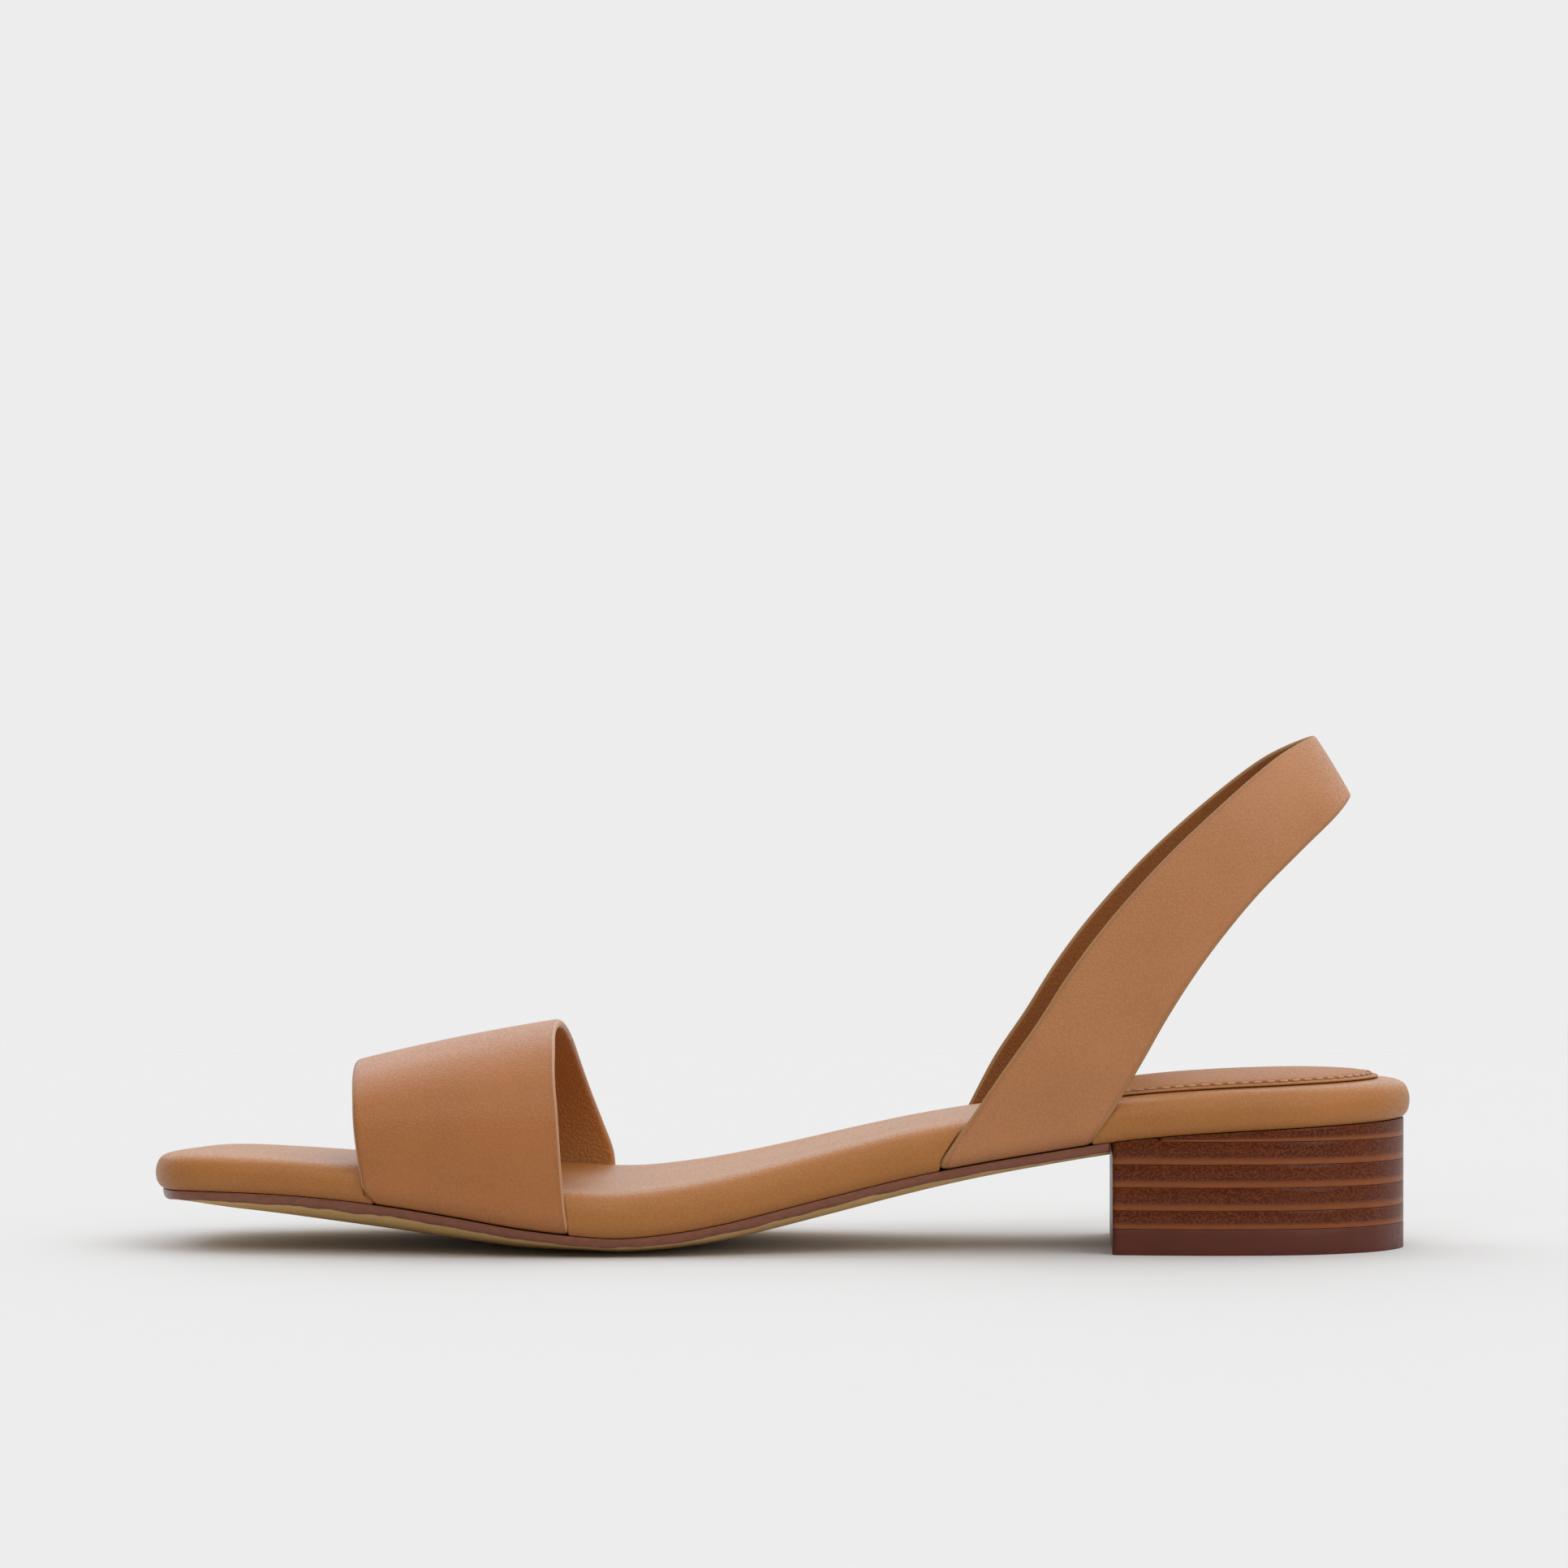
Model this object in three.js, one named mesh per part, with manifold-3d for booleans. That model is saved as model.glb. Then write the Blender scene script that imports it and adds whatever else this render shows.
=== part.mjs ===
// A low block heel slingback sandal for the right foot, in millimetres.
// X runs from the toe to the heel, Y from the inner (medial) to the outer (lateral) side, Z up from the floor.
import * as THREE from "three";
import { mergeVertices } from "three/addons/utils/BufferGeometryUtils.js";
import Module from "manifold-3d";

const wasm = await Module();
wasm.setup();

// Plan of the footbed
const FOOTBED_LENGTH = 248.8;
const TOE_WIDTH = 60;
const BALL_WIDTH = 84;
const WAIST_WIDTH = 58;
const SEAT_WIDTH = 60;

// Footbed and heel sock
const FOOTBED_THICKNESS = 8.5;
const FOOTBED_EDGE_ROLL = 6;
const SEAT_CROWN = 1.6;
const TOE_SPRING = 7.3;
const TOE_TILT = 0.9;
const SOCK_THICKNESS = 1.1;
const SOCK_LENGTH = 76;
const SOCK_MARGIN = 6.2;
const SOCK_CORNER = 9;

// Outsole
const OUTSOLE_EDGE = 1.5;
const OUTSOLE_EDGE_SLOPE = 0.3;
const OUTSOLE_MARGIN = 1.5;
const OUTSOLE_CAMBER = 2.8;
const OUTSOLE_FLAT = 0.5;

// Heel
const HEEL_LENGTH = 58;
const HEEL_MARGIN = 1.2;
const TOP_PIECE_HEIGHT = 5.1;
const LIFT_HEIGHTS = [3.6, 4.5, 4.5, 4.5];
const WEDGE_BACK_HEIGHT = 3.3;
const WEDGE_EDGE_HEIGHT = 0.4;

// Straps, which are the upper
const STRAP_WALL = 1.8;
const STRAP_SINK = 1;
const STRAP_TONGUE = 15;
const FRONT_STRAP_START = 44;
const FRONT_STRAP_BASE_LENGTH = 40.2;
const FRONT_CREST_HEIGHT = 36.7;
const REAR_CREST_HEIGHT = 45;
const FRONT_STRAP_SWELL = 0.5;
const FRONT_STRAP_LEAN = 4.8;
const FRONT_STRAP_RAKE = -0.13;
const FRONT_STRAP_SET_BACK = 4.5;
const SLING_START = 155.2;
const SLING_BASE_LENGTH = 30.5;
const SLING_RAKE = 0.7;
const SLING_HEIGHT = 101.2;
const SLING_BACK_WIDTH = 14.4;
const SLING_BACK_TILT = 31;
const SLING_BACK_INSET = 11.3;
const SLING_OUTER_LEAD = 2.7;
const SLING_SWELL = 0.7;

// Gap between neighbouring pieces, and how much the channels for the strap ends clear them
const SEAM = 0.3;
const CHANNEL_CLEARANCE = 0.3;

// Number of facets
const OUTLINE_STEPS = 3;
const STRAP_STEPS = 3;
const STRAP_COLUMNS = [0.03, 0.27, 0.5, 0.73, 0.97];
const SOCK_CORNER_STEPS = [0.2, 0.4, 0.6, 0.8, 1];
const QUARTERS = [0.25, 0.5, 0.75];

// Step for the slope of a curve, as a share of it, and the distance at which vertices are one
const SLOPE_STEP = 1e-3;
const MERGE_DISTANCE = 1e-4;

const TAN = { color: 0xa56f41, roughness: 0.55, metalness: 0 };
const STRAP_TAN = { color: 0xa87348, roughness: 0.5, metalness: 0 };
const SOLE_BROWN = { color: 0x8a6440, roughness: 0.6, metalness: 0 };
const HEEL_BROWN = { color: 0x6b3522, roughness: 0.4, metalness: 0 };

// Outline of the footbed from above. along: share of the length from the toe; across: share of half the
// named width, negative on the inner side.
const OUTLINE = [
  { along: 0.0, across: -0.2, of: TOE_WIDTH },
  { along: 0.003, across: -0.57, of: TOE_WIDTH },
  { along: 0.018, across: -0.87, of: TOE_WIDTH },
  { along: 0.052, across: -1.04, of: TOE_WIDTH },
  { along: 0.117, across: -0.845, of: BALL_WIDTH },
  { along: 0.218, across: -0.945, of: BALL_WIDTH },
  { along: 0.331, across: -1.0, of: BALL_WIDTH },
  { along: 0.44, across: -0.92, of: BALL_WIDTH },
  { along: 0.532, across: -1.12, of: WAIST_WIDTH },
  { along: 0.629, across: -1.0, of: WAIST_WIDTH },
  { along: 0.75, across: -0.967, of: SEAT_WIDTH },
  { along: 0.843, across: -1.0, of: SEAT_WIDTH },
  { along: 0.919, across: -0.9, of: SEAT_WIDTH },
  { along: 0.97, across: -0.633, of: SEAT_WIDTH },
  { along: 0.995, across: -0.3, of: SEAT_WIDTH },
  { along: 1.0, across: 0.0, of: SEAT_WIDTH },
  { along: 0.991, across: 0.367, of: SEAT_WIDTH },
  { along: 0.96, across: 0.71, of: SEAT_WIDTH },
  { along: 0.903, across: 0.933, of: SEAT_WIDTH },
  { along: 0.823, across: 1.0, of: SEAT_WIDTH },
  { along: 0.702, across: 1.017, of: WAIST_WIDTH },
  { along: 0.581, across: 1.086, of: WAIST_WIDTH },
  { along: 0.48, across: 0.87, of: BALL_WIDTH },
  { along: 0.379, across: 0.988, of: BALL_WIDTH },
  { along: 0.278, across: 0.988, of: BALL_WIDTH },
  { along: 0.177, across: 0.905, of: BALL_WIDTH },
  { along: 0.097, across: 0.79, of: BALL_WIDTH },
  { along: 0.048, across: 0.93, of: TOE_WIDTH },
  { along: 0.022, across: 0.71, of: TOE_WIDTH },
  { along: 0.0095, across: 0.3, of: TOE_WIDTH },
];

// Lie of the sole along the foot. toe, heel: shares of the toe spring and of the rise to the heel seat;
// thick, crown, camber: shares of the footbed's thickness, its crown and the outsole's camber;
// tilt: share by which the inner side lies higher.
const PROFILE = [
  { along: 0.0, toe: 1.0, heel: 0, thick: 0.86, crown: 0.0, camber: 0.3, tilt: 1.0 },
  { along: 0.05, toe: 1.0, heel: 0, thick: 0.86, crown: 0.1, camber: 0.8, tilt: 1.0 },
  { along: 0.1, toe: 0.94, heel: 0, thick: 0.84, crown: 0.15, camber: 1.1, tilt: 1.2 },
  { along: 0.15, toe: 0.81, heel: 0, thick: 0.85, crown: 0.2, camber: 1.35, tilt: 1.3 },
  { along: 0.2, toe: 0.63, heel: 0, thick: 0.89, crown: 0.25, camber: 1.45, tilt: 1.1 },
  { along: 0.25, toe: 0.43, heel: 0, thick: 0.96, crown: 0.3, camber: 1.5, tilt: 0.5 },
  { along: 0.3, toe: 0.2, heel: 0, thick: 1.0, crown: 0.3, camber: 1.35, tilt: 0.0 },
  { along: 0.35, toe: 0.03, heel: 0, thick: 1.03, crown: 0.3, camber: 1.0, tilt: -0.2 },
  { along: 0.38, toe: 0, heel: 0.0, thick: 1.05, crown: 0.3, camber: 1.0, tilt: -0.35 },
  { along: 0.42, toe: 0, heel: 0.045, thick: 1.07, crown: 0.3, camber: 1.05, tilt: -0.45 },
  { along: 0.46, toe: 0, heel: 0.125, thick: 1.08, crown: 0.25, camber: 1.1, tilt: -0.45 },
  { along: 0.5, toe: 0, heel: 0.23, thick: 1.08, crown: 0.2, camber: 1.1, tilt: -0.4 },
  { along: 0.55, toe: 0, heel: 0.37, thick: 1.08, crown: 0.2, camber: 1.05, tilt: -0.4 },
  { along: 0.6, toe: 0, heel: 0.505, thick: 1.07, crown: 0.25, camber: 0.95, tilt: -0.3 },
  { along: 0.65, toe: 0, heel: 0.615, thick: 1.05, crown: 0.4, camber: 0.75, tilt: -0.2 },
  { along: 0.7, toe: 0, heel: 0.71, thick: 1.01, crown: 0.6, camber: 0.62, tilt: 0 },
  { along: 0.76, toe: 0, heel: 0.82, thick: 0.99, crown: 0.8, camber: 0.55, tilt: 0 },
  { along: 0.82, toe: 0, heel: 0.893, thick: 0.97, crown: 1.0, camber: 0.5, tilt: 0 },
  { along: 0.9, toe: 0, heel: 0.947, thick: 0.95, crown: 1.0, camber: 0.3, tilt: 0 },
  { along: 1.0, toe: 0, heel: 1.0, thick: 0.92, crown: 0.7, camber: 0.3, tilt: 0 },
];

// Rolled edge of the footbed. inset: share of the edge roll; up: share of the thickness.
const EDGE_ROLL = [
  { inset: 0.27, up: 0.0 },
  { inset: 0.14, up: 0.08 },
  { inset: 0.045, up: 0.2 },
  { inset: 0.0, up: 0.4 },
  { inset: 0.025, up: 0.6 },
  { inset: 0.15, up: 0.82 },
  { inset: 0.35, up: 0.92 },
  { inset: 0.62, up: 0.97 },
  { inset: 1.0, up: 1.0 },
];

// Rounded underside of the outsole. inward: share of the way from the edge to the middle;
// down: share of the camber.
const UNDERSIDE = [
  { inward: 0.06, down: 0.16 },
  { inward: 0.16, down: 0.4 },
  { inward: 0.32, down: 0.68 },
  { inward: 0.55, down: 0.9 },
  { inward: 0.8, down: 1.0 },
];
const CROWN_STEPS = [0.25, 0.5, 0.78];

// Arch of the front strap. across: share of the footbed's half width; up: share of the way from the
// footbed's rim to the crest; front, rear: shares of the lean of each edge towards the toe, measured from
// the line between the strap's two bases.
const ARCH = [
  { across: -1.0, up: 0.1, front: 0.25, rear: 0.25 },
  { across: -0.995, up: 0.3, front: 0.36, rear: 0.35 },
  { across: -0.97, up: 0.5, front: 0.46, rear: 0.46 },
  { across: -0.9, up: 0.69, front: 0.57, rear: 0.64 },
  { across: -0.75, up: 0.85, front: 0.77, rear: 0.81 },
  { across: -0.5, up: 0.955, front: 1.05, rear: 1.07 },
  { across: -0.18, up: 1.0, front: 1.35, rear: 1.25 },
  { across: 0.17, up: 0.965, front: 1.5, rear: 1.38 },
  { across: 0.46, up: 0.85, front: 1.5, rear: 1.38 },
  { across: 0.7, up: 0.67, front: 1.38, rear: 1.28 },
  { across: 0.85, up: 0.48, front: 1.14, rear: 1.03 },
  { across: 0.94, up: 0.28, front: 0.8, rear: 0.64 },
  { across: 0.985, up: 0.08, front: 0.4, rear: 0.22 },
];

// Sling from the footbed's rim to the middle of its back. up: share of the height; front, rear: share of
// the way back of each edge; frontOut, rearOut: share of the footbed's half width.
const SLING = [
  { up: 0.138, front: 0.096, rear: 0.088, frontOut: 1.0, rearOut: 1.0 },
  { up: 0.263, front: 0.196, rear: 0.181, frontOut: 0.99, rearOut: 0.985 },
  { up: 0.39, front: 0.288, rear: 0.286, frontOut: 0.97, rearOut: 0.955 },
  { up: 0.516, front: 0.394, rear: 0.404, frontOut: 0.945, rearOut: 0.91 },
  { up: 0.677, front: 0.555, rear: 0.579, frontOut: 0.89, rearOut: 0.82 },
  { up: 0.829, front: 0.735, rear: 0.779, frontOut: 0.77, rearOut: 0.65 },
  { up: 0.944, front: 0.89, rear: 0.94, frontOut: 0.5, rearOut: 0.36 },
];

const MEDIAL = -1;
const LATERAL = 1;
const UP = new THREE.Vector3(0, 0, 1);
const lerp = THREE.MathUtils.lerp;
const clamp = THREE.MathUtils.clamp;

// One column of a table at any place along the foot, joined by smooth curves.
function column(rows, name, along) {
  const last = rows.length - 1;
  let i = 0;
  while (i < last - 1 && along > rows[i + 1].along) i += 1;
  const slope = (k) => {
    const a = rows[Math.max(k - 1, 0)];
    const b = rows[Math.min(k + 1, last)];
    return (b[name] - a[name]) / (b.along - a.along);
  };
  const span = rows[i + 1].along - rows[i].along;
  const t = clamp((along - rows[i].along) / span, 0, 1);
  const a = rows[i][name];
  const b = rows[i + 1][name];
  const bend = t * t * (3 - 2 * t);
  const leave = t * (1 - t) * (1 - t) * span * slope(i);
  const arrive = t * t * (t - 1) * span * slope(i + 1);
  return a + (b - a) * bend + leave + arrive;
}

const shareAt = (x) => clamp(x / FOOTBED_LENGTH, 0, 1);
const profileAt = (name, x) => column(PROFILE, name, shareAt(x));

// Outline of the footbed as a closed curve, anticlockwise from above.
const outlineCurve = new THREE.CatmullRomCurve3(
  OUTLINE.map((row) => new THREE.Vector3(row.along * FOOTBED_LENGTH, (row.across * row.of) / 2, 0)),
  true,
  "centripetal",
);
const outlineCount = OUTLINE.length * OUTLINE_STEPS;

// The outline moved inwards by a distance, as points on the plane.
function outlineInset(distance, count = outlineCount) {
  return Array.from({ length: count }, (_, i) => {
    const t = i / count;
    const tangent = outlineCurve.getTangent(t);
    const inward = new THREE.Vector3().crossVectors(UP, tangent).normalize();
    const p = outlineCurve.getPoint(t).addScaledVector(inward, distance);
    return new THREE.Vector2(p.x, p.y);
  });
}

const fineOutline = outlineInset(0, outlineCount * 2);

// Y of the outline on one side at a place along the foot.
function edgeAt(x, side) {
  let found = 0;
  fineOutline.forEach((a, i) => {
    const b = fineOutline[(i + 1) % fineOutline.length];
    if ((a.x - x) * (b.x - x) > 0 || a.x === b.x) return;
    const y = lerp(a.y, b.y, (x - a.x) / (b.x - a.x));
    if (y * side > found * side) found = y;
  });
  return found;
}

const middleAt = (x) => (edgeAt(x, MEDIAL) + edgeAt(x, LATERAL)) / 2;
const halfWidthAt = (x) => (edgeAt(x, LATERAL) - edgeAt(x, MEDIAL)) / 2;

// Distance of a point from the outline.
function depthAt(x, y) {
  const p = new THREE.Vector3(x, y, 0);
  const line = new THREE.Line3();
  const nearest = new THREE.Vector3();
  let best = Infinity;
  fineOutline.forEach((a, i) => {
    const b = fineOutline[(i + 1) % fineOutline.length];
    line.set(new THREE.Vector3(a.x, a.y, 0), new THREE.Vector3(b.x, b.y, 0));
    line.closestPointToPoint(p, true, nearest);
    best = Math.min(best, nearest.distanceTo(p));
  });
  return best;
}

// Heights of the footbed's underside over the floor, at the ball and at the back of the heel.
const BALL_SEAT = OUTSOLE_CAMBER + OUTSOLE_EDGE + SEAM - OUTSOLE_FLAT;
const LIFT_STACK = LIFT_HEIGHTS.reduce((sum, height) => sum + height, TOP_PIECE_HEIGHT);
const HEEL_SEAT = LIFT_STACK + WEDGE_BACK_HEIGHT + SEAM;

function seatHeight(x, y) {
  const rise = profileAt("toe", x) * TOE_SPRING + profileAt("heel", x) * (HEEL_SEAT - BALL_SEAT);
  return BALL_SEAT + rise - (profileAt("tilt", x) * TOE_TILT * y) / (BALL_WIDTH / 2);
}

// Height of the footbed's top inside its rolled edge.
function topHeight(x, y) {
  const reach = clamp((depthAt(x, y) - FOOTBED_EDGE_ROLL) / (halfWidthAt(x) - FOOTBED_EDGE_ROLL), 0, 1);
  const crown = SEAT_CROWN * profileAt("crown", x) * (1 - (1 - reach) * (1 - reach));
  return seatHeight(x, y) + FOOTBED_THICKNESS * profileAt("thick", x) + crown;
}

// Rings and solids

const lift = (points, height) => points.map((p) => new THREE.Vector3(p.x, p.y, height(p.x, p.y)));

// A ring drawn in towards the middle line of the foot between two places along it.
function drawnIn(points, share, from, to) {
  return points.map((p) => {
    const x = clamp(p.x, from, to);
    return new THREE.Vector2(lerp(p.x, x, share), lerp(p.y, middleAt(x), share));
  });
}

// A mesh geometry from triangles of points.
function geometryOf(triangles) {
  const geometry = new THREE.BufferGeometry();
  const positions = triangles.flat().flatMap((p) => [p.x, p.y, p.z]);
  geometry.setAttribute("position", new THREE.Float32BufferAttribute(positions, 3));
  return geometry;
}

// Faces that close a long ring, laid across it from its toe end to its heel end.
function cap(ring, facesUp) {
  const byX = (a, b) => ring[a].x - ring[b].x;
  const order = ring.map((_, i) => i).sort(byX);
  const first = order[0];
  const last = order[order.length - 1];
  const walk = (step) => {
    const chain = [first];
    while (chain[chain.length - 1] !== last) {
      chain.push((chain[chain.length - 1] + step + ring.length) % ring.length);
    }
    return chain;
  };
  const near = walk(1);
  const far = walk(-1);
  const faces = [];
  let i = 0;
  let j = 0;
  while (i < near.length - 1 || j < far.length - 1) {
    const nearNext = i < near.length - 1 ? ring[near[i + 1]].x : Infinity;
    const farNext = j < far.length - 1 ? ring[far[j + 1]].x : Infinity;
    const face = [near[i], nearNext <= farNext ? near[i + 1] : far[j + 1], far[j]];
    if (nearNext <= farNext) i += 1;
    else j += 1;
    if (new Set(face).size === 3) faces.push(face.map((k) => ring[k]));
  }
  return facesUp ? faces : faces.map(([a, b, c]) => [a, c, b]);
}

// Faces between two rings of as many points.
function wallBetween(low, high) {
  return low.flatMap((a, i) => {
    const next = (i + 1) % low.length;
    return [
      [a, low[next], high[next]],
      [a, high[next], high[i]],
    ];
  });
}

// A closed solid from rings that run anticlockwise, from the middle of its underside round to its top.
function ringSolid(rings) {
  const triangles = cap(rings[0], false);
  rings.slice(1).forEach((ring, i) => triangles.push(...wallBetween(rings[i], ring)));
  triangles.push(...cap(rings[rings.length - 1], true));
  return geometryOf(triangles);
}

// Joins and cuts

function toManifold(geometry) {
  const merged = mergeVertices(geometry, MERGE_DISTANCE);
  return new wasm.Manifold(
    new wasm.Mesh({
      numProp: 3,
      vertProperties: merged.attributes.position.array,
      triVerts: new Uint32Array(merged.index.array),
    }),
  );
}

function fromManifold(solid) {
  const { vertProperties, triVerts } = solid.getMesh();
  const geometry = new THREE.BufferGeometry();
  geometry.setAttribute("position", new THREE.BufferAttribute(vertProperties, 3));
  geometry.setIndex(new THREE.BufferAttribute(triVerts, 1));
  return geometry;
}

function box(low, high) {
  const size = high.clone().sub(low);
  const geometry = new THREE.BoxGeometry(size.x, size.y, size.z);
  geometry.translate(low.x + size.x / 2, low.y + size.y / 2, low.z + size.z / 2);
  geometry.deleteAttribute("normal");
  geometry.deleteAttribute("uv");
  return geometry;
}

// Footbed

const TOE_REACH = TOE_WIDTH / 2;
const HEEL_REACH = SEAT_WIDTH / 2;
const spineFrom = TOE_REACH;
const spineTo = FOOTBED_LENGTH - HEEL_REACH;

function footbedBlank() {
  const rings = [];
  const underside = outlineInset(EDGE_ROLL[0].inset * FOOTBED_EDGE_ROLL);
  [...CROWN_STEPS].reverse().forEach((share) => {
    rings.push(lift(drawnIn(underside, share, spineFrom, spineTo), seatHeight));
  });
  EDGE_ROLL.forEach(({ inset, up }) => {
    const ring = outlineInset(inset * FOOTBED_EDGE_ROLL);
    const rise = (x, y) => seatHeight(x, y) + FOOTBED_THICKNESS * profileAt("thick", x) * up;
    rings.push(lift(ring, rise));
  });
  const rim = outlineInset(FOOTBED_EDGE_ROLL);
  CROWN_STEPS.forEach((share) => {
    rings.push(lift(drawnIn(rim, share, spineFrom, spineTo), topHeight));
  });
  return ringSolid(rings);
}

// Heel sock: a thin pad on the seat, with a straight front end and round corners.
function sockOutline() {
  const front = FOOTBED_LENGTH - SOCK_LENGTH;
  const sides = outlineInset(SOCK_MARGIN).filter((p) => p.x > front + SOCK_CORNER);
  const start = sides.findIndex((p, i) => i > 0 && p.distanceTo(sides[i - 1]) > SOCK_CORNER * 2);
  const ordered = start > 0 ? [...sides.slice(start), ...sides.slice(0, start)] : sides;
  const corner = (side, turn) => {
    const edge = edgeAt(front + SOCK_CORNER, side) - side * SOCK_MARGIN;
    return new THREE.Vector2(
      front + SOCK_CORNER * (1 - Math.sin(turn)),
      edge - side * SOCK_CORNER * (1 - Math.cos(turn)),
    );
  };
  const turns = SOCK_CORNER_STEPS.map((share) => (share * Math.PI) / 2);
  const lateral = turns.map((turn) => corner(LATERAL, turn));
  const medial = [...turns].reverse().map((turn) => corner(MEDIAL, turn));
  const across = QUARTERS.map((share) => lateral[lateral.length - 1].clone().lerp(medial[0], share));
  return [...ordered, ...lateral, ...across, ...medial];
}

function heelSock() {
  const outline = sockOutline();
  const from = FOOTBED_LENGTH - SOCK_LENGTH + HEEL_REACH / 2;
  const under = (x, y) => topHeight(x, y) + SEAM;
  const over = (x, y) => under(x, y) + SOCK_THICKNESS;
  const shoulder = (x, y) => under(x, y) + SOCK_THICKNESS / 2;
  const edge = SOCK_THICKNESS / HEEL_REACH;
  const rings = [...CROWN_STEPS].reverse().map((share) => lift(drawnIn(outline, share, from, spineTo), under));
  rings.push(lift(outline, under), lift(outline, shoulder));
  rings.push(lift(drawnIn(outline, edge, from, spineTo), over));
  CROWN_STEPS.forEach((share) => rings.push(lift(drawnIn(outline, share, from, spineTo), over)));
  return ringSolid(rings);
}

// Outsole

const breast = FOOTBED_LENGTH - HEEL_MARGIN - HEEL_LENGTH;

function outsole() {
  const upper = outlineInset(OUTSOLE_MARGIN);
  const lower = outlineInset(OUTSOLE_MARGIN + OUTSOLE_EDGE_SLOPE);
  const top = (x, y) => seatHeight(x, y) - SEAM;
  const edgeBottom = (x, y) => Math.max(0, top(x, y) - OUTSOLE_EDGE);
  const rings = [...UNDERSIDE].reverse().map(({ inward, down }) => {
    const underside = (x, y) => {
      const camber = OUTSOLE_CAMBER * profileAt("camber", x) * down;
      return Math.max(0, top(x, y) - OUTSOLE_EDGE - camber);
    };
    return lift(drawnIn(lower, inward, spineFrom, spineTo), underside);
  });
  rings.push(lift(lower, edgeBottom), lift(upper, top));
  CROWN_STEPS.forEach((share) => rings.push(lift(drawnIn(upper, share, spineFrom, spineTo), top)));
  const behindBreast = box(
    new THREE.Vector3(breast - SEAM, -BALL_WIDTH, -HEEL_SEAT),
    new THREE.Vector3(FOOTBED_LENGTH * 2, BALL_WIDTH, HEEL_SEAT * 2),
  );
  return fromManifold(toManifold(ringSolid(rings)).subtract(toManifold(behindBreast)));
}

// Heel: a D-shaped stack with straight sides

// The part of the footbed's outline behind a line across the foot, closed along that line.
function heelOutline(front) {
  const behind = outlineInset(HEEL_MARGIN).filter((p) => p.x > front + HEEL_MARGIN);
  const start = behind.findIndex((p, i) => i > 0 && p.y < 0 && behind[i - 1].y > 0 && p.x < spineTo);
  const ordered = start > 0 ? [...behind.slice(start), ...behind.slice(0, start)] : behind;
  const medial = new THREE.Vector2(front, edgeAt(front, MEDIAL) + HEEL_MARGIN);
  const lateral = new THREE.Vector2(front, edgeAt(front, LATERAL) - HEEL_MARGIN);
  const across = QUARTERS.map((share) => lateral.clone().lerp(medial, share));
  return [medial, ...ordered, lateral, ...across];
}

// A layer of the heel, flat underneath. Its top is curved where it carries the seat.
function heelLayer(front, bottom, top, topSteps = []) {
  const outline = heelOutline(front);
  const from = Math.min(front + HEEL_REACH / 2, spineTo);
  const rings = [lift(outline, bottom), lift(outline, top)];
  topSteps.forEach((share) => rings.push(lift(drawnIn(outline, share, from, spineTo), top)));
  return ringSolid(rings);
}

const underSeat = (x, y) => seatHeight(x, y) - SEAM;

// Where the wedge has grown to its edge height.
function wedgeStart() {
  const wedgeAt = (x) => underSeat(x, 0) - LIFT_STACK;
  let x = breast;
  while (wedgeAt(x) < WEDGE_EDGE_HEIGHT && x < spineTo) x += 1;
  return x;
}

// Straps

// A surface along a strap: rows(v) gives the points of the line at share v of its width.
function strapSurface(rows) {
  const lines = new Map();
  const lineAt = (v) => {
    if (!lines.has(v)) lines.set(v, new THREE.CatmullRomCurve3(rows(v), false, "centripetal"));
    return lines.get(v);
  };
  const point = (u, v) => lineAt(v).getPoint(clamp(u, 0, 1));
  const normal = (u, v) => {
    const along = point(u + SLOPE_STEP, v).sub(point(u - SLOPE_STEP, v));
    const across = point(u, v + SLOPE_STEP).sub(point(u, v - SLOPE_STEP));
    return new THREE.Vector3().crossVectors(across, along).normalize();
  };
  const direction = (u, v) => point(u + SLOPE_STEP, v).sub(point(u - SLOPE_STEP, v)).normalize();
  return { point, normal, direction, segments: (rows(0).length - 1) * STRAP_STEPS };
}

// A wall round a strap's middle surface, with rounded edges. grow widens it on every side.
function strapWall(surface, width, grow = 0) {
  const half = STRAP_WALL / 2 + grow;
  const spread = grow / width;
  const across = STRAP_COLUMNS.map((v) => (v < 0.5 ? v - spread : v + (v > 0.5 ? spread : 0)));
  const sections = Array.from({ length: surface.segments + 1 }, (_, i) => {
    const u = i / surface.segments;
    const end = i === 0 ? -grow : i === surface.segments ? grow : 0;
    const place = (v, side) => {
      const p = surface.point(u, v).addScaledVector(surface.normal(u, v), side * half);
      return p.addScaledVector(surface.direction(u, v), end);
    };
    const outer = across.map((v) => place(v, 1));
    const inner = [...across].reverse().map((v) => place(v, -1));
    return [...outer, place(1 + spread, 0), ...inner, place(-spread, 0)];
  });
  const triangles = [];
  sections.slice(1).forEach((section, i) => triangles.push(...wallBetween(sections[i], section)));
  const close = (section, first) => {
    const n = section.length;
    const columns = across.length;
    const faces = [[section[0], section[n - 1], section[n - 2]]];
    for (let k = 0; k < columns - 1; k += 1) {
      const low = n - 2 - k;
      faces.push([section[k], section[low], section[low - 1]], [section[k], section[low - 1], section[k + 1]]);
    }
    faces.push([section[columns - 1], section[columns + 1], section[columns]]);
    return faces.map(([a, b, c]) => (first ? [a, b, c] : [a, c, b]));
  };
  triangles.push(...close(sections[0], true), ...close(sections[sections.length - 1], false));
  return geometryOf(triangles);
}

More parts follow.
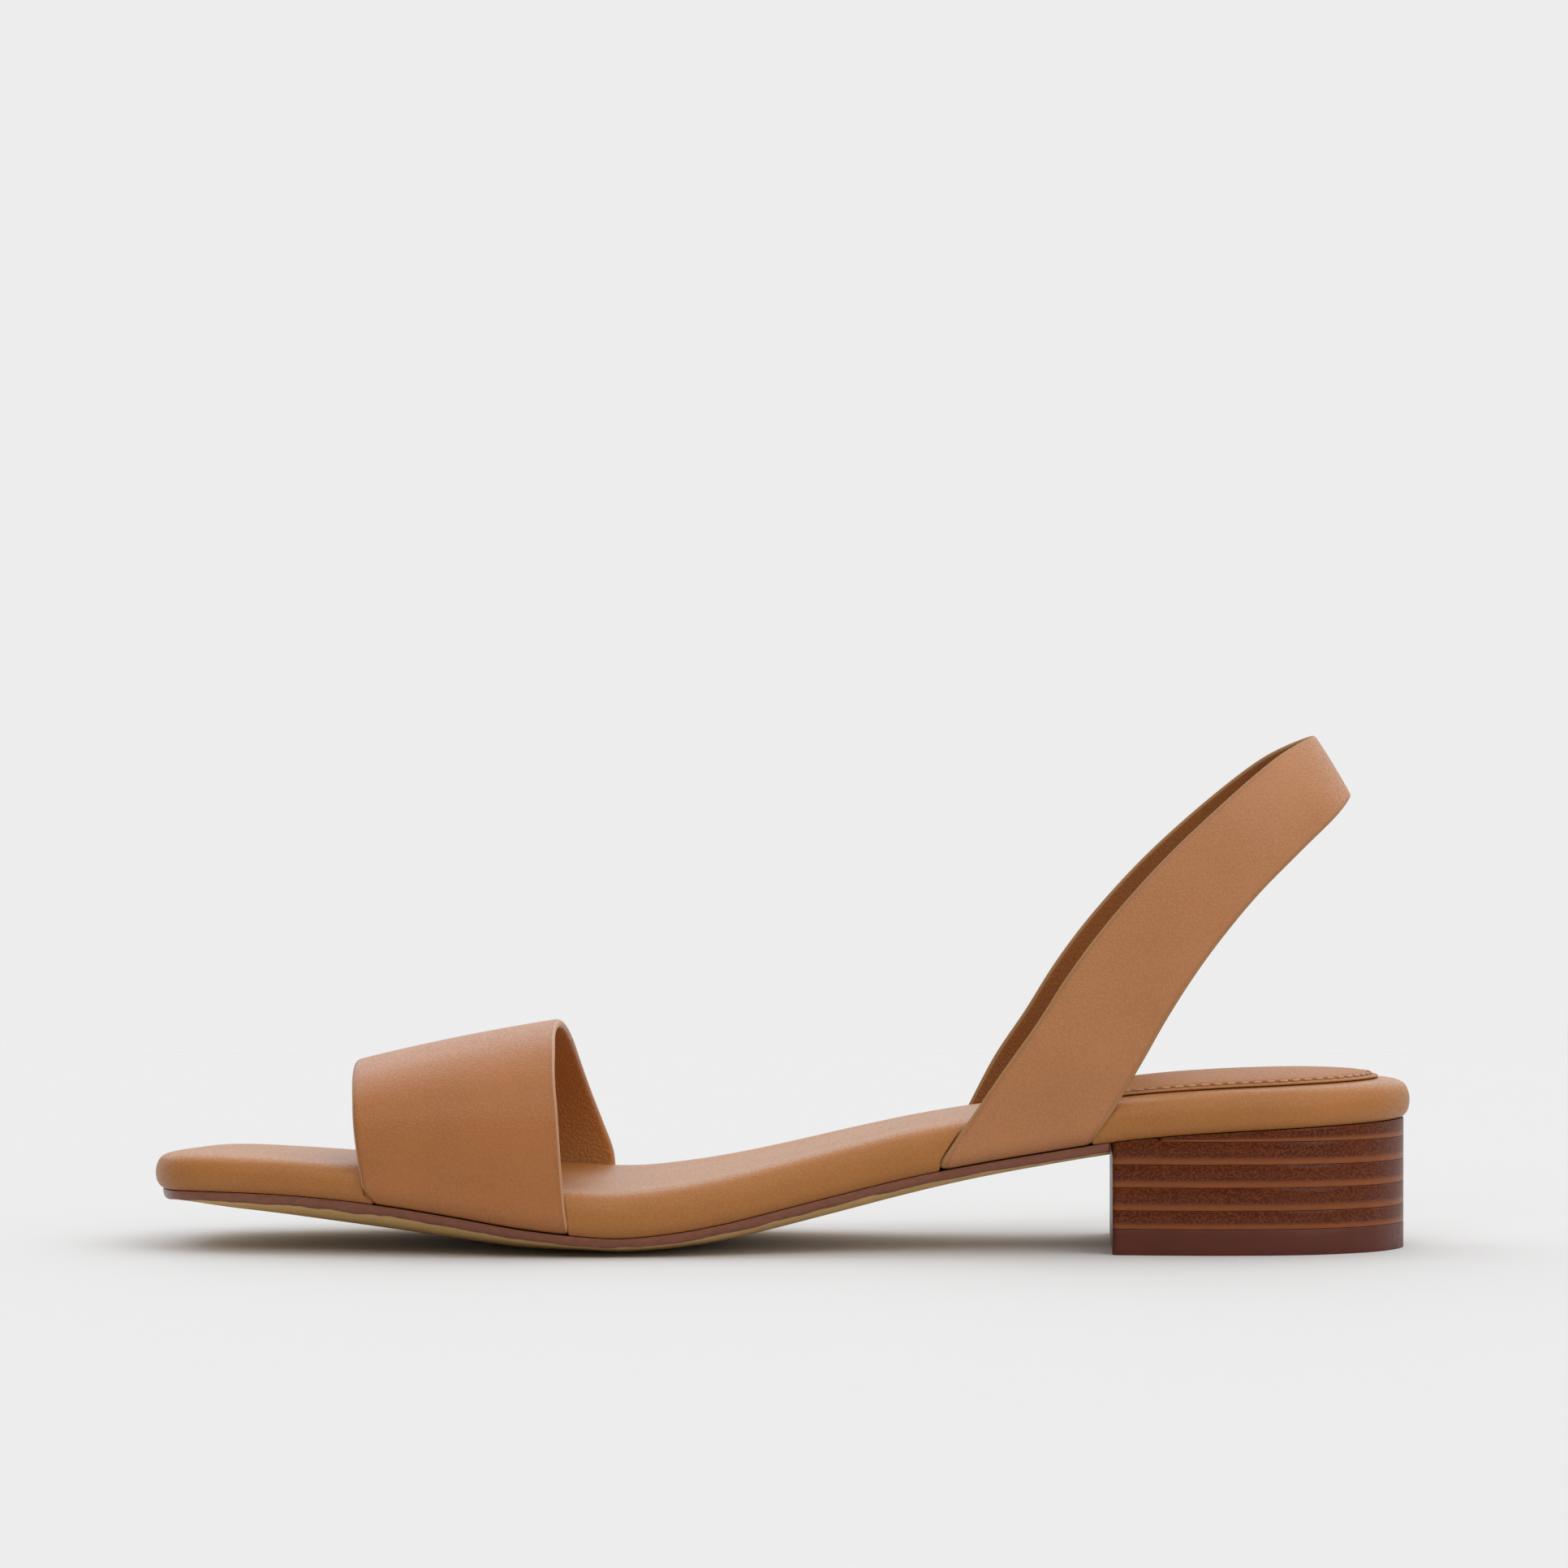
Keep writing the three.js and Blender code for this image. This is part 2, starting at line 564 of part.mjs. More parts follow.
// The turned-under end of a strap and its climb round the footbed's edge, from its tip upwards.
// inward: share of the tongue inwards from the outline; up: share of the footbed's thickness.
const STRAP_END = [
  { inward: 1.0, up: 0 },
  { inward: 0.6, up: 0 },
  { inward: 0.25, up: 0 },
  { inward: 0.06, up: 0.06 },
  { inward: 0.0, up: 0.3 },
  { inward: 0.0, up: 0.62 },
];

function strapEnd(base, side, rake) {
  const thickness = FOOTBED_THICKNESS * profileAt("thick", base);
  return STRAP_END.map(({ inward, up }) => {
    const x = base + rake * up * thickness;
    const edge = strapEdgeAt(x, side);
    const y = edge - side * inward * STRAP_TONGUE;
    return new THREE.Vector3(x, y, seatHeight(base, y) + STRAP_WALL / 2 + up * thickness);
  });
}

function rimHeight(x, side) {
  return seatHeight(x, edgeAt(x, side)) + FOOTBED_THICKNESS * profileAt("thick", x);
}

// Y of a strap's middle surface where it climbs beside the footbed.
const strapEdgeAt = (x, side) => edgeAt(x, side) - side * (STRAP_SINK - STRAP_WALL / 2);

// How far a strap's middle swells out between its two edges, as a share.
const swellAt = (v) => 4 * v * (1 - v);

function frontStrapRows(v) {
  const medial = FRONT_STRAP_START + v * FRONT_STRAP_BASE_LENGTH;
  const lateral = medial + FRONT_STRAP_SET_BACK;
  const swell = FRONT_STRAP_SWELL * swellAt(v);
  const crest = lerp(FRONT_CREST_HEIGHT, REAR_CREST_HEIGHT, v) + swell - STRAP_WALL / 2;
  const arch = ARCH.map((row) => {
    const side = row.across < 0 ? MEDIAL : LATERAL;
    const x = lerp(medial, lateral, (1 + row.across) / 2);
    const lean = FRONT_STRAP_LEAN * lerp(row.front, row.rear, v);
    const y = Math.abs(row.across) * strapEdgeAt(x, side);
    return new THREE.Vector3(x - lean, y, lerp(rimHeight(x, side), crest, row.up));
  });
  return [
    ...strapEnd(medial, MEDIAL, FRONT_STRAP_RAKE),
    ...arch,
    ...strapEnd(lateral, LATERAL, FRONT_STRAP_RAKE).reverse(),
  ];
}

function slingRows(v) {
  const base = SLING_START + v * SLING_BASE_LENGTH;
  const rim = base + SLING_RAKE * FOOTBED_THICKNESS * profileAt("thick", base);
  const tilt = THREE.MathUtils.degToRad(SLING_BACK_TILT);
  const backEnd = FOOTBED_LENGTH - SLING_BACK_INSET - STRAP_WALL / 2;
  const backX = backEnd - (1 - v) * SLING_BACK_WIDTH * Math.sin(tilt);
  const backZ = SLING_HEIGHT - v * SLING_BACK_WIDTH * Math.cos(tilt);
  const swell = SLING_SWELL * swellAt(v);
  const side = (sign) =>
    SLING.map((row) => {
      const out = lerp(row.frontOut, row.rearOut, v);
      const lead = sign === LATERAL ? SLING_OUTER_LEAD * Math.sin(Math.PI * row.up) : 0;
      return new THREE.Vector3(
        lerp(rim, backX, lerp(row.front, row.rear, v)) - lead,
        strapEdgeAt(rim, sign) * out + sign * swell,
        lerp(rimHeight(base, sign), backZ, row.up),
      );
    });
  return [
    ...strapEnd(base, MEDIAL, SLING_RAKE),
    ...side(MEDIAL),
    new THREE.Vector3(backX + swell, middleAt(spineTo), backZ),
    ...side(LATERAL).reverse(),
    ...strapEnd(base, LATERAL, SLING_RAKE).reverse(),
  ];
}

// Assembly

const frontStrap = strapSurface(frontStrapRows);
const slingStrap = strapSurface(slingRows);
const straps = [
  { name: "front_strap", surface: frontStrap, width: FRONT_STRAP_BASE_LENGTH },
  { name: "sling_strap", surface: slingStrap, width: SLING_BACK_WIDTH },
];

function footbed() {
  let solid = toManifold(footbedBlank());
  straps.forEach(({ surface, width }) => {
    solid = solid.subtract(toManifold(strapWall(surface, width, CHANNEL_CLEARANCE)));
  });
  const bodies = solid.decompose();
  return fromManifold(bodies.reduce((a, b) => (a.volume() > b.volume() ? a : b)));
}

const sandal = new THREE.Group();

function add(name, geometry, finish) {
  const mesh = new THREE.Mesh(geometry, new THREE.MeshStandardMaterial(finish));
  mesh.name = name;
  sandal.add(mesh);
}

add("footbed", footbed(), TAN);
add("heel_sock", heelSock(), TAN);
add("outsole", outsole(), SOLE_BROWN);
straps.forEach(({ name, surface, width }) => add(name, strapWall(surface, width), STRAP_TAN));

const flatAt = (height) => () => height;
add("heel_top_piece", heelLayer(breast, flatAt(0), flatAt(TOP_PIECE_HEIGHT - SEAM)), HEEL_BROWN);
let liftFloor = TOP_PIECE_HEIGHT;
LIFT_HEIGHTS.forEach((height, i) => {
  const ceiling = liftFloor + height - SEAM;
  const top = (x, y) => Math.min(ceiling, underSeat(x, y));
  const topSteps = i === LIFT_HEIGHTS.length - 1 ? CROWN_STEPS : [];
  add(`heel_lift_${i + 1}`, heelLayer(breast, flatAt(liftFloor), top, topSteps), HEEL_BROWN);
  liftFloor += height;
});
add("heel_wedge", heelLayer(wedgeStart(), flatAt(LIFT_STACK), underSeat, CROWN_STEPS), HEEL_BROWN);

// The origin is on the floor under the middle of the sandal's bounding box.
const bounds = new THREE.Box3().setFromObject(sandal);
sandal.position.set(
  -(bounds.min.x + bounds.max.x) / 2,
  -(bounds.min.y + bounds.max.y) / 2,
  -bounds.min.z,
);

export default sandal;
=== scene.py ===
"""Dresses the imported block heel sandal, a right shoe, in leather and thread, and sets its stage."""

import math

import bmesh
import bpy
import numpy as np
from bpy.props import FloatProperty, FloatVectorProperty, IntProperty, PointerProperty
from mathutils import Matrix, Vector, noise


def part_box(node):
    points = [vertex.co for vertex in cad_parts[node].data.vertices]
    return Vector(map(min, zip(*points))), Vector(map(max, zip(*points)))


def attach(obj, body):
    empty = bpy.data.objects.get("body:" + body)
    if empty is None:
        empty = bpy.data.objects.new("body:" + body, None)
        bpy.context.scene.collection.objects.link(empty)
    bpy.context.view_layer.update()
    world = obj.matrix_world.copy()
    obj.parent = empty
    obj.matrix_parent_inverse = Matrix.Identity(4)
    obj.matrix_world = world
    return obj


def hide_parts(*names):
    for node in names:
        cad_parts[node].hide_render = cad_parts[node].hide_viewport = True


bl_info = {
    "name": "Block heel sandal",
    "version": (1, 0, 0),
    "blender": (4, 5, 0),
    "location": "View3D > Sidebar > Sandal",
    "description": "Builds the leather, stitches, stacked heel and stage of a block heel sandal",
    "category": "Object",
}

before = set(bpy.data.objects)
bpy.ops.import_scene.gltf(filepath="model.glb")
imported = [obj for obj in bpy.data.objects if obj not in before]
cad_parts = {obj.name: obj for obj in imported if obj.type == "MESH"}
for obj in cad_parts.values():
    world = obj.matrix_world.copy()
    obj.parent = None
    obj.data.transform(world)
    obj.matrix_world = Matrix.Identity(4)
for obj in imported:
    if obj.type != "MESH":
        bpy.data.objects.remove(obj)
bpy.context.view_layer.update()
MM = 0.001

# Plan of the footbed, in millimetres. X runs from the toe to the heel, Y from the inner to the outer side.
FOOTBED_LENGTH = 248.8
TOE_WIDTH = 60
BALL_WIDTH = 84
WAIST_WIDTH = 58
SEAT_WIDTH = 60

# Footbed and heel sock
FOOTBED_THICKNESS = 8.5
FOOTBED_EDGE_ROLL = 6
SEAT_CROWN = 1.6
TOE_SPRING = 7.3
TOE_TILT = 0.9
SOCK_THICKNESS = 1.1
SOCK_LENGTH = 76
SOCK_MARGIN = 6.2
SOCK_CORNER = 9

# Outsole and heel
OUTSOLE_EDGE = 1.5
OUTSOLE_EDGE_SLOPE = 0.3
OUTSOLE_MARGIN = 1.5
OUTSOLE_CAMBER = 2.8
OUTSOLE_FLAT = 0.5
HEEL_LENGTH = 58
HEEL_MARGIN = 1.2
TOP_PIECE_HEIGHT = 5.1
LIFT_HEIGHTS = (3.6, 4.5, 4.5, 4.5)
WEDGE_BACK_HEIGHT = 3.3
WEDGE_EDGE_HEIGHT = 0.4
SEAM = 0.3

# Straps
STRAP_WALL = 1.8
STRAP_SINK = 1.0
STRAP_TONGUE = 15
FRONT_STRAP_START = 44
FRONT_STRAP_BASE_LENGTH = 40.2
FRONT_CREST_HEIGHT = 36.7
REAR_CREST_HEIGHT = 45
FRONT_STRAP_SWELL = 0.5
FRONT_STRAP_LEAN = 4.8
FRONT_STRAP_RAKE = -0.13
FRONT_STRAP_SET_BACK = 4.5
SLING_START = 155.2
SLING_BASE_LENGTH = 30.5
SLING_RAKE = 0.7
SLING_HEIGHT = 101.2
SLING_BACK_WIDTH = 14.4
SLING_BACK_TILT = 31
SLING_BACK_INSET = 11.3
SLING_OUTER_LEAD = 2.7
SLING_SWELL = 1.3
SLING_MEAN_WIDTH = 20.0
SLING_CORNER = 0.4

# Outline of the footbed from above: share of the length, share of half the named width, the width
OUTLINE = (
    (0.0, -0.2, TOE_WIDTH),
    (0.003, -0.57, TOE_WIDTH),
    (0.018, -0.87, TOE_WIDTH),
    (0.052, -1.04, TOE_WIDTH),
    (0.117, -0.845, BALL_WIDTH),
    (0.218, -0.945, BALL_WIDTH),
    (0.331, -1.0, BALL_WIDTH),
    (0.44, -0.92, BALL_WIDTH),
    (0.532, -1.12, WAIST_WIDTH),
    (0.629, -1.0, WAIST_WIDTH),
    (0.75, -0.967, SEAT_WIDTH),
    (0.843, -1.0, SEAT_WIDTH),
    (0.919, -0.9, SEAT_WIDTH),
    (0.97, -0.633, SEAT_WIDTH),
    (0.995, -0.3, SEAT_WIDTH),
    (1.0, 0.0, SEAT_WIDTH),
    (0.991, 0.367, SEAT_WIDTH),
    (0.96, 0.71, SEAT_WIDTH),
    (0.903, 0.933, SEAT_WIDTH),
    (0.823, 1.0, SEAT_WIDTH),
    (0.702, 1.017, WAIST_WIDTH),
    (0.581, 1.086, WAIST_WIDTH),
    (0.48, 0.87, BALL_WIDTH),
    (0.379, 0.988, BALL_WIDTH),
    (0.278, 0.988, BALL_WIDTH),
    (0.177, 0.905, BALL_WIDTH),
    (0.097, 0.79, BALL_WIDTH),
    (0.048, 0.93, TOE_WIDTH),
    (0.022, 0.71, TOE_WIDTH),
    (0.0095, 0.3, TOE_WIDTH),
)

# Lie of the sole: share of the length, toe spring, rise to the heel, thickness, crown, camber, tilt, and how
# far the middle of the top is dished between its two ridges
PROFILE_COLUMNS = ("along", "toe", "heel", "thick", "crown", "camber", "tilt", "dish")
PROFILE = (
    (0.0, 1.0, 0, 0.86, 0.0, 0.3, 1.0, 0.0),
    (0.05, 1.0, 0, 0.86, 0.1, 0.8, 1.0, 0.1),
    (0.1, 0.94, 0, 0.84, 0.15, 1.1, 1.2, 0.25),
    (0.15, 0.81, 0, 0.85, 0.2, 1.35, 1.3, 0.45),
    (0.2, 0.63, 0, 0.89, 0.25, 1.45, 1.1, 0.6),
    (0.25, 0.43, 0, 0.96, 0.3, 1.5, 0.5, 0.8),
    (0.3, 0.2, 0, 1.0, 0.3, 1.35, 0.0, 0.9),
    (0.35, 0.03, 0, 1.03, 0.3, 1.0, -0.2, 1.0),
    (0.38, 0, 0.0, 1.05, 0.3, 1.0, -0.35, 1.0),
    (0.42, 0, 0.045, 1.07, 0.3, 1.05, -0.45, 1.0),
    (0.46, 0, 0.125, 1.08, 0.25, 1.1, -0.45, 0.95),
    (0.5, 0, 0.23, 1.08, 0.2, 1.1, -0.4, 0.85),
    (0.55, 0, 0.37, 1.08, 0.2, 1.05, -0.4, 0.7),
    (0.6, 0, 0.505, 1.07, 0.25, 0.95, -0.3, 0.5),
    (0.65, 0, 0.615, 1.05, 0.4, 0.75, -0.2, 0.25),
    (0.7, 0, 0.71, 1.01, 0.6, 0.62, 0, 0.0),
    (0.76, 0, 0.82, 0.99, 0.8, 0.55, 0, 0.0),
    (0.82, 0, 0.893, 0.97, 1.0, 0.5, 0, 0.0),
    (0.9, 0, 0.947, 0.95, 1.0, 0.3, 0, 0.0),
    (1.0, 0, 1.0, 0.92, 0.7, 0.3, 0, 0.0),
)

# Rolled edge of the footbed: share of the edge roll inwards, share of the thickness upwards
EDGE_ROLL = (
    (0.27, 0.0),
    (0.14, 0.08),
    (0.045, 0.2),
    (0.0, 0.4),
    (0.025, 0.6),
    (0.15, 0.82),
    (0.35, 0.92),
    (0.62, 0.97),
    (1.0, 1.0),
)

# Rounded underside of the outsole: share of the way inwards, share of the camber downwards
UNDERSIDE = ((0.0, 0.0), (0.06, 0.16), (0.16, 0.4), (0.32, 0.68), (0.55, 0.9), (0.8, 1.0), (0.97, 1.0))

# Arch of the front strap: share of the half width, share of the way up to the crest, and shares of the lean
# of its front and rear edge towards the toe
ARCH = (
    (-1.0, 0.1, 0.25, 0.25),
    (-0.995, 0.3, 0.36, 0.35),
    (-0.97, 0.5, 0.46, 0.46),
    (-0.9, 0.69, 0.57, 0.64),
    (-0.75, 0.85, 0.77, 0.81),
    (-0.5, 0.955, 1.05, 1.07),
    (-0.18, 1.0, 1.35, 1.25),
    (0.17, 0.965, 1.5, 1.38),
    (0.46, 0.85, 1.5, 1.38),
    (0.7, 0.67, 1.38, 1.28),
    (0.85, 0.48, 1.14, 1.03),
    (0.94, 0.28, 0.8, 0.64),
    (0.985, 0.08, 0.4, 0.22),
)

# Sling from the footbed to the middle of its back: share of the height, shares of the way back of its front
# and rear edge, and shares of the footbed's half width outwards of the same two edges
SLING = (
    (0.138, 0.096, 0.088, 1.0, 1.0),
    (0.263, 0.196, 0.181, 0.99, 0.985),
    (0.39, 0.288, 0.286, 0.97, 0.955),
    (0.516, 0.394, 0.404, 0.945, 0.91),
    (0.677, 0.555, 0.579, 0.89, 0.82),
    (0.829, 0.735, 0.779, 0.77, 0.65),
    (0.944, 0.89, 0.94, 0.5, 0.36),
)

# Turned-under end of a strap, from its tip: share of the tongue inwards, share of the thickness upwards
STRAP_END = ((1.0, 0), (0.6, 0), (0.25, 0), (0.06, 0.06), (0.0, 0.3), (0.0, 0.62))

MEDIAL = -1
LATERAL = 1
FINE_STEPS = 4096
FOOTBED_POINTS = 372
DEPTH_POINTS = 744
TOP_SHARES = (0.05, 0.12, 0.2, 0.3, 0.42, 0.55, 0.68, 0.8, 0.9, 0.97)
ROLL_STEPS = 26
CROWDED = 1.1
PRESS_PLACES = (-1.0, -0.45, -0.3, -0.05, 0.25, 0.8, 1.5)
PRESS_STEP = (-0.3, -0.05)
PRESS_CLEARANCE = 0.1


def smooth_step(low, high, value):
    """0 below low, 1 above high and a smooth ramp between them."""
    share = np.clip((value - low) / (high - low), 0, 1)
    return share * share * (3 - 2 * share)


def spline(points, shares, closed=False):
    """Points at shares of a centripetal Catmull-Rom curve."""
    points = np.asarray(points, float)
    count = len(points)
    spans = count if closed else count - 1
    place = np.asarray(shares, float) * spans
    start = np.clip(np.floor(place).astype(int), 0, spans - 1)
    t = (place - start)[:, None]
    if closed:
        a, b, c, d = (points[(start + k) % count] for k in (-1, 0, 1, 2))
    else:
        longer = np.vstack([2 * points[0] - points[1], points, 2 * points[-1] - points[-2]])
        a, b, c, d = (longer[start + k] for k in range(4))
    ab, bc, cd = (np.sqrt(np.linalg.norm(q - p, axis=1))[:, None] for p, q in ((a, b), (b, c), (c, d)))
    leave = ((b - a) / ab - (c - a) / (ab + bc) + (c - b) / bc) * bc
    arrive = ((c - b) / bc - (d - b) / (bc + cd) + (d - c) / cd) * bc
    square = t * t
    cube = square * t
    middle = b + leave * t + (3 * (c - b) - 2 * leave - arrive) * square
    return middle + (2 * (b - c) + leave + arrive) * cube


def profile(name, x):
    """One column of the profile at places x along the foot, joined by smooth curves."""
    along = np.array([row[0] for row in PROFILE])
    values = np.array([row[PROFILE_COLUMNS.index(name)] for row in PROFILE], float)
    last = len(along) - 1
    before = np.maximum(np.arange(last + 1) - 1, 0)
    after = np.minimum(np.arange(last + 1) + 1, last)
    slopes = (values[after] - values[before]) / (along[after] - along[before])
    share = np.clip(np.asarray(x, float) / FOOTBED_LENGTH, 0, 1)
    i = np.clip(np.searchsorted(along, share, side="right") - 1, 0, last - 1)
    span = along[i + 1] - along[i]
    t = (share - along[i]) / span
    bend = t * t * (3 - 2 * t)
    ends = t * (1 - t) * (1 - t) * span * slopes[i] + t * t * (t - 1) * span * slopes[i + 1]
    return values[i] + (values[i + 1] - values[i]) * bend + ends


def evenly(line, count, closed=True):
    """A line's points again, at equal distances along it."""
    line = np.vstack([line, line[:1]]) if closed else line
    length = np.concatenate([[0], np.cumsum(np.linalg.norm(np.diff(line, axis=0), axis=1))])
    places = np.linspace(0, length[-1], count, endpoint=not closed)
    return np.stack([np.interp(places, length, line[:, k]) for k in range(line.shape[1])], axis=1)


def inward_of(ring):
    """The inward direction at each point of an anticlockwise ring."""
    along = np.roll(ring, -1, axis=0) - np.roll(ring, 1, axis=0)
    along /= np.linalg.norm(along, axis=1)[:, None]
    return np.stack([-along[:, 1], along[:, 0]], axis=1)


CONTROL = np.array([(along * FOOTBED_LENGTH, across * width / 2) for along, across, width in OUTLINE])
FINE_OUTLINE = spline(CONTROL, np.linspace(0, 1, FINE_STEPS, endpoint=False), closed=True)
TOE_TIP = int(FINE_OUTLINE[:, 0].argmin())
HEEL_TIP = int(FINE_OUTLINE[:, 0].argmax())
TURNED = np.roll(FINE_OUTLINE, -TOE_TIP, axis=0)
TURN = (HEEL_TIP - TOE_TIP) % FINE_STEPS
SIDES = {MEDIAL: TURNED[: TURN + 1], LATERAL: np.vstack([TURNED[TURN:], TURNED[:1]])[::-1]}
DEPTH_OUTLINE = evenly(FINE_OUTLINE, DEPTH_POINTS)
CLOSED = np.vstack([TURNED, TURNED[:1]])
PERIMETER = np.concatenate([[0], np.cumsum(np.linalg.norm(np.diff(CLOSED, axis=0), axis=1))])

SPINE_FROM = TOE_WIDTH / 2
SPINE_TO = FOOTBED_LENGTH - SEAT_WIDTH / 2
BREAST = FOOTBED_LENGTH - HEEL_MARGIN - HEEL_LENGTH
BALL_SEAT = OUTSOLE_CAMBER + OUTSOLE_EDGE + SEAM - OUTSOLE_FLAT
LIFT_STACK = TOP_PIECE_HEIGHT + sum(LIFT_HEIGHTS)
HEEL_SEAT = LIFT_STACK + WEDGE_BACK_HEIGHT + SEAM

# Where the footbed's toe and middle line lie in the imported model
FOOTBED_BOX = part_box("footbed")
ORIGIN = Vector((
    FOOTBED_BOX[0].x - FINE_OUTLINE[:, 0].min() * MM,
    (FOOTBED_BOX[0].y + FOOTBED_BOX[1].y - (FINE_OUTLINE[:, 1].min() + FINE_OUTLINE[:, 1].max()) * MM) / 2,
    0,
))


def outline_at(places):
    """Points of the outline at distances along it from the toe's tip, anticlockwise."""
    places = places % PERIMETER[-1]
    return np.stack([np.interp(places, PERIMETER, CLOSED[:, k]) for k in (0, 1)], axis=1)


def inward_at(places):
    """The inward direction at distances along the outline."""
    along = outline_at(places + 0.4) - outline_at(places - 0.4)
    along /= np.linalg.norm(along, axis=1)[:, None]
    return np.stack([-along[:, 1], along[:, 0]], axis=1)


def edge_at(x, side):
    """Y of the footbed's outline on one side."""
    return np.interp(x, SIDES[side][:, 0], SIDES[side][:, 1])


def middle_at(x):
    return (edge_at(x, MEDIAL) + edge_at(x, LATERAL)) / 2


def depth_at(points):
    """Distance of plan points from the footbed's outline."""
    gaps = points[:, None, :2] - DEPTH_OUTLINE[None, :, :]
    return np.sqrt((gaps * gaps).sum(axis=2).min(axis=1))


def seat_height(x, y):
    """Height of the footbed's underside over the floor."""
    rise = profile("toe", x) * TOE_SPRING + profile("heel", x) * (HEEL_SEAT - BALL_SEAT)
    return BALL_SEAT + rise - profile("tilt", x) * TOE_TILT * y / (BALL_WIDTH / 2)


def thickness_at(x):
    return FOOTBED_THICKNESS * profile("thick", x)


def top_height(points, dish=0.0):
    """Height of the footbed's top inside its rolled edge."""
    x, y = points[:, 0], points[:, 1]
    half = (edge_at(x, LATERAL) - edge_at(x, MEDIAL)) / 2
    reach = np.clip((depth_at(points) - FOOTBED_EDGE_ROLL) / (half - FOOTBED_EDGE_ROLL), 0, 1)
    crown = SEAT_CROWN * profile("crown", x) * (1 - (1 - reach) ** 2)
    hollow = dish * profile("dish", x) * smooth_step(0, 0.35, reach)
    return seat_height(x, y) + thickness_at(x) + crown - hollow


def drawn_in(ring, share, start=SPINE_FROM, end=SPINE_TO):
    """A ring drawn in towards the middle line of the foot between two places along it."""
    x = np.clip(ring[:, 0], start, end)
    middle = np.stack([x, middle_at(x)], axis=1)
    return ring[:, :2] * (1 - share) + middle * share


def raised(ring, height):
    """A plan ring at given heights."""
    return np.column_stack([ring[:, 0], ring[:, 1], np.broadcast_to(height, len(ring))])


def ring_faces(first, count):
    """Faces between a ring of points and the next one."""
    return [
        (first + i, first + (i + 1) % count, first + count + (i + 1) % count, first + count + i)
        for i in range(count)
    ]


def cap_faces(ring, first, faces_up):
    """Faces that close a long ring, laid across it from one end to the other."""
    count = len(ring)
    order = np.argsort(ring[:, 0], kind="stable")
    start, end = int(order[0]), int(order[-1])

    def chain(step):
        places = [start]
        while places[-1] != end:
            places.append((places[-1] + step) % count)
        return places

    near, far = chain(1), chain(-1)
    faces = []
    i = j = 0
    while i < len(near) - 1 or j < len(far) - 1:
        near_x = ring[near[i + 1], 0] if i < len(near) - 1 else math.inf
        far_x = ring[far[j + 1], 0] if j < len(far) - 1 else math.inf
        face = (near[i], near[i + 1] if near_x <= far_x else far[j + 1], far[j])
        if near_x <= far_x:
            i += 1
        else:
            j += 1
        if len(set(face)) == 3:
            faces.append(tuple(first + k for k in (face if faces_up else face[::-1])))
    return faces


def ring_solid(rings):
    """Points and faces of a closed solid from rings, from the middle of its underside round to its top."""
    count = len(rings[0])
    faces = cap_faces(rings[0], 0, False)
    for k in range(len(rings) - 1):
        faces += ring_faces(k * count, count)
    faces += cap_faces(rings[-1], (len(rings) - 1) * count, True)
    return np.vstack(rings), faces


def make_piece(name, points, faces, materials, face_slots=None, shares=None, smoothing=1, ring=0):
    """A piece at its place in the frame; crowded points of its first and last ring become one."""
    mesh = bpy.data.meshes.new(name)
    mesh.from_pydata([tuple(p) for p in np.asarray(points) * MM + np.array(ORIGIN)], [], faces)
    for material in materials:
        mesh.materials.append(material)
    if face_slots is not None:
        mesh.polygons.foreach_set("material_index", face_slots)
    for label, values in (shares or {}).items():
        mesh.attributes.new(label, "FLOAT", "POINT").data.foreach_set("value", np.asarray(values, np.float32))
    work = bmesh.new()
    work.from_mesh(mesh)
    work.verts.ensure_lookup_table()
    for end in (work.verts[:ring], work.verts[len(work.verts) - ring:]):
        bmesh.ops.remove_doubles(work, verts=end, dist=CROWDED * MM)
    bmesh.ops.recalc_face_normals(work, faces=work.faces)
    work.to_mesh(mesh)
    work.free()
    mesh.shade_smooth()
    piece = bpy.data.objects.new(name, mesh)
    bpy.context.scene.collection.objects.link(piece)
    if smoothing:
        fine = piece.modifiers.new("smooth", "SUBSURF")
        fine.levels = fine.render_levels = smoothing
    return piece


def seat_piece(piece, slot, *nodes):
    """Puts a finished piece on the body, in the place of its CAD nodes, which it hides; the slot is not used.
    """
    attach(piece, "root")
    if nodes:
        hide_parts(*nodes)
    return piece


def node(tree, kind, inputs=None, **settings):
    """Adds a node; an input is a value or the output that feeds it."""
    made = tree.nodes.new(kind)
    for key, value in settings.items():
        setattr(made, key, value)
    for key, value in (inputs or {}).items():
        if isinstance(value, bpy.types.NodeSocket):
            tree.links.new(value, made.inputs[key])
        else:
            made.inputs[key].default_value = value
    return made


def new_material(name, **shader_inputs):
    """An empty material with its surface shader."""
    material = bpy.data.materials.new(name)
    material.use_nodes = True
    tree = material.node_tree
    tree.nodes.clear()
    shader = node(tree, "ShaderNodeBsdfPrincipled", shader_inputs)
    node(tree, "ShaderNodeOutputMaterial", {"Surface": shader.outputs["BSDF"]})
    return material, tree, shader


def object_noise(tree, size_mm, detail=3.0, stretch=(1, 1, 1)):
    """Soft noise on the object's own coordinates, with features of about a size."""
    coords = node(tree, "ShaderNodeTexCoord").outputs["Object"]
    placed = node(tree, "ShaderNodeMapping", {"Vector": coords, "Scale": stretch}).outputs["Vector"]
    inputs = {"Vector": placed, "Scale": 1 / (size_mm * MM), "Detail": detail}
    return node(tree, "ShaderNodeTexNoise", inputs).outputs["Fac"]


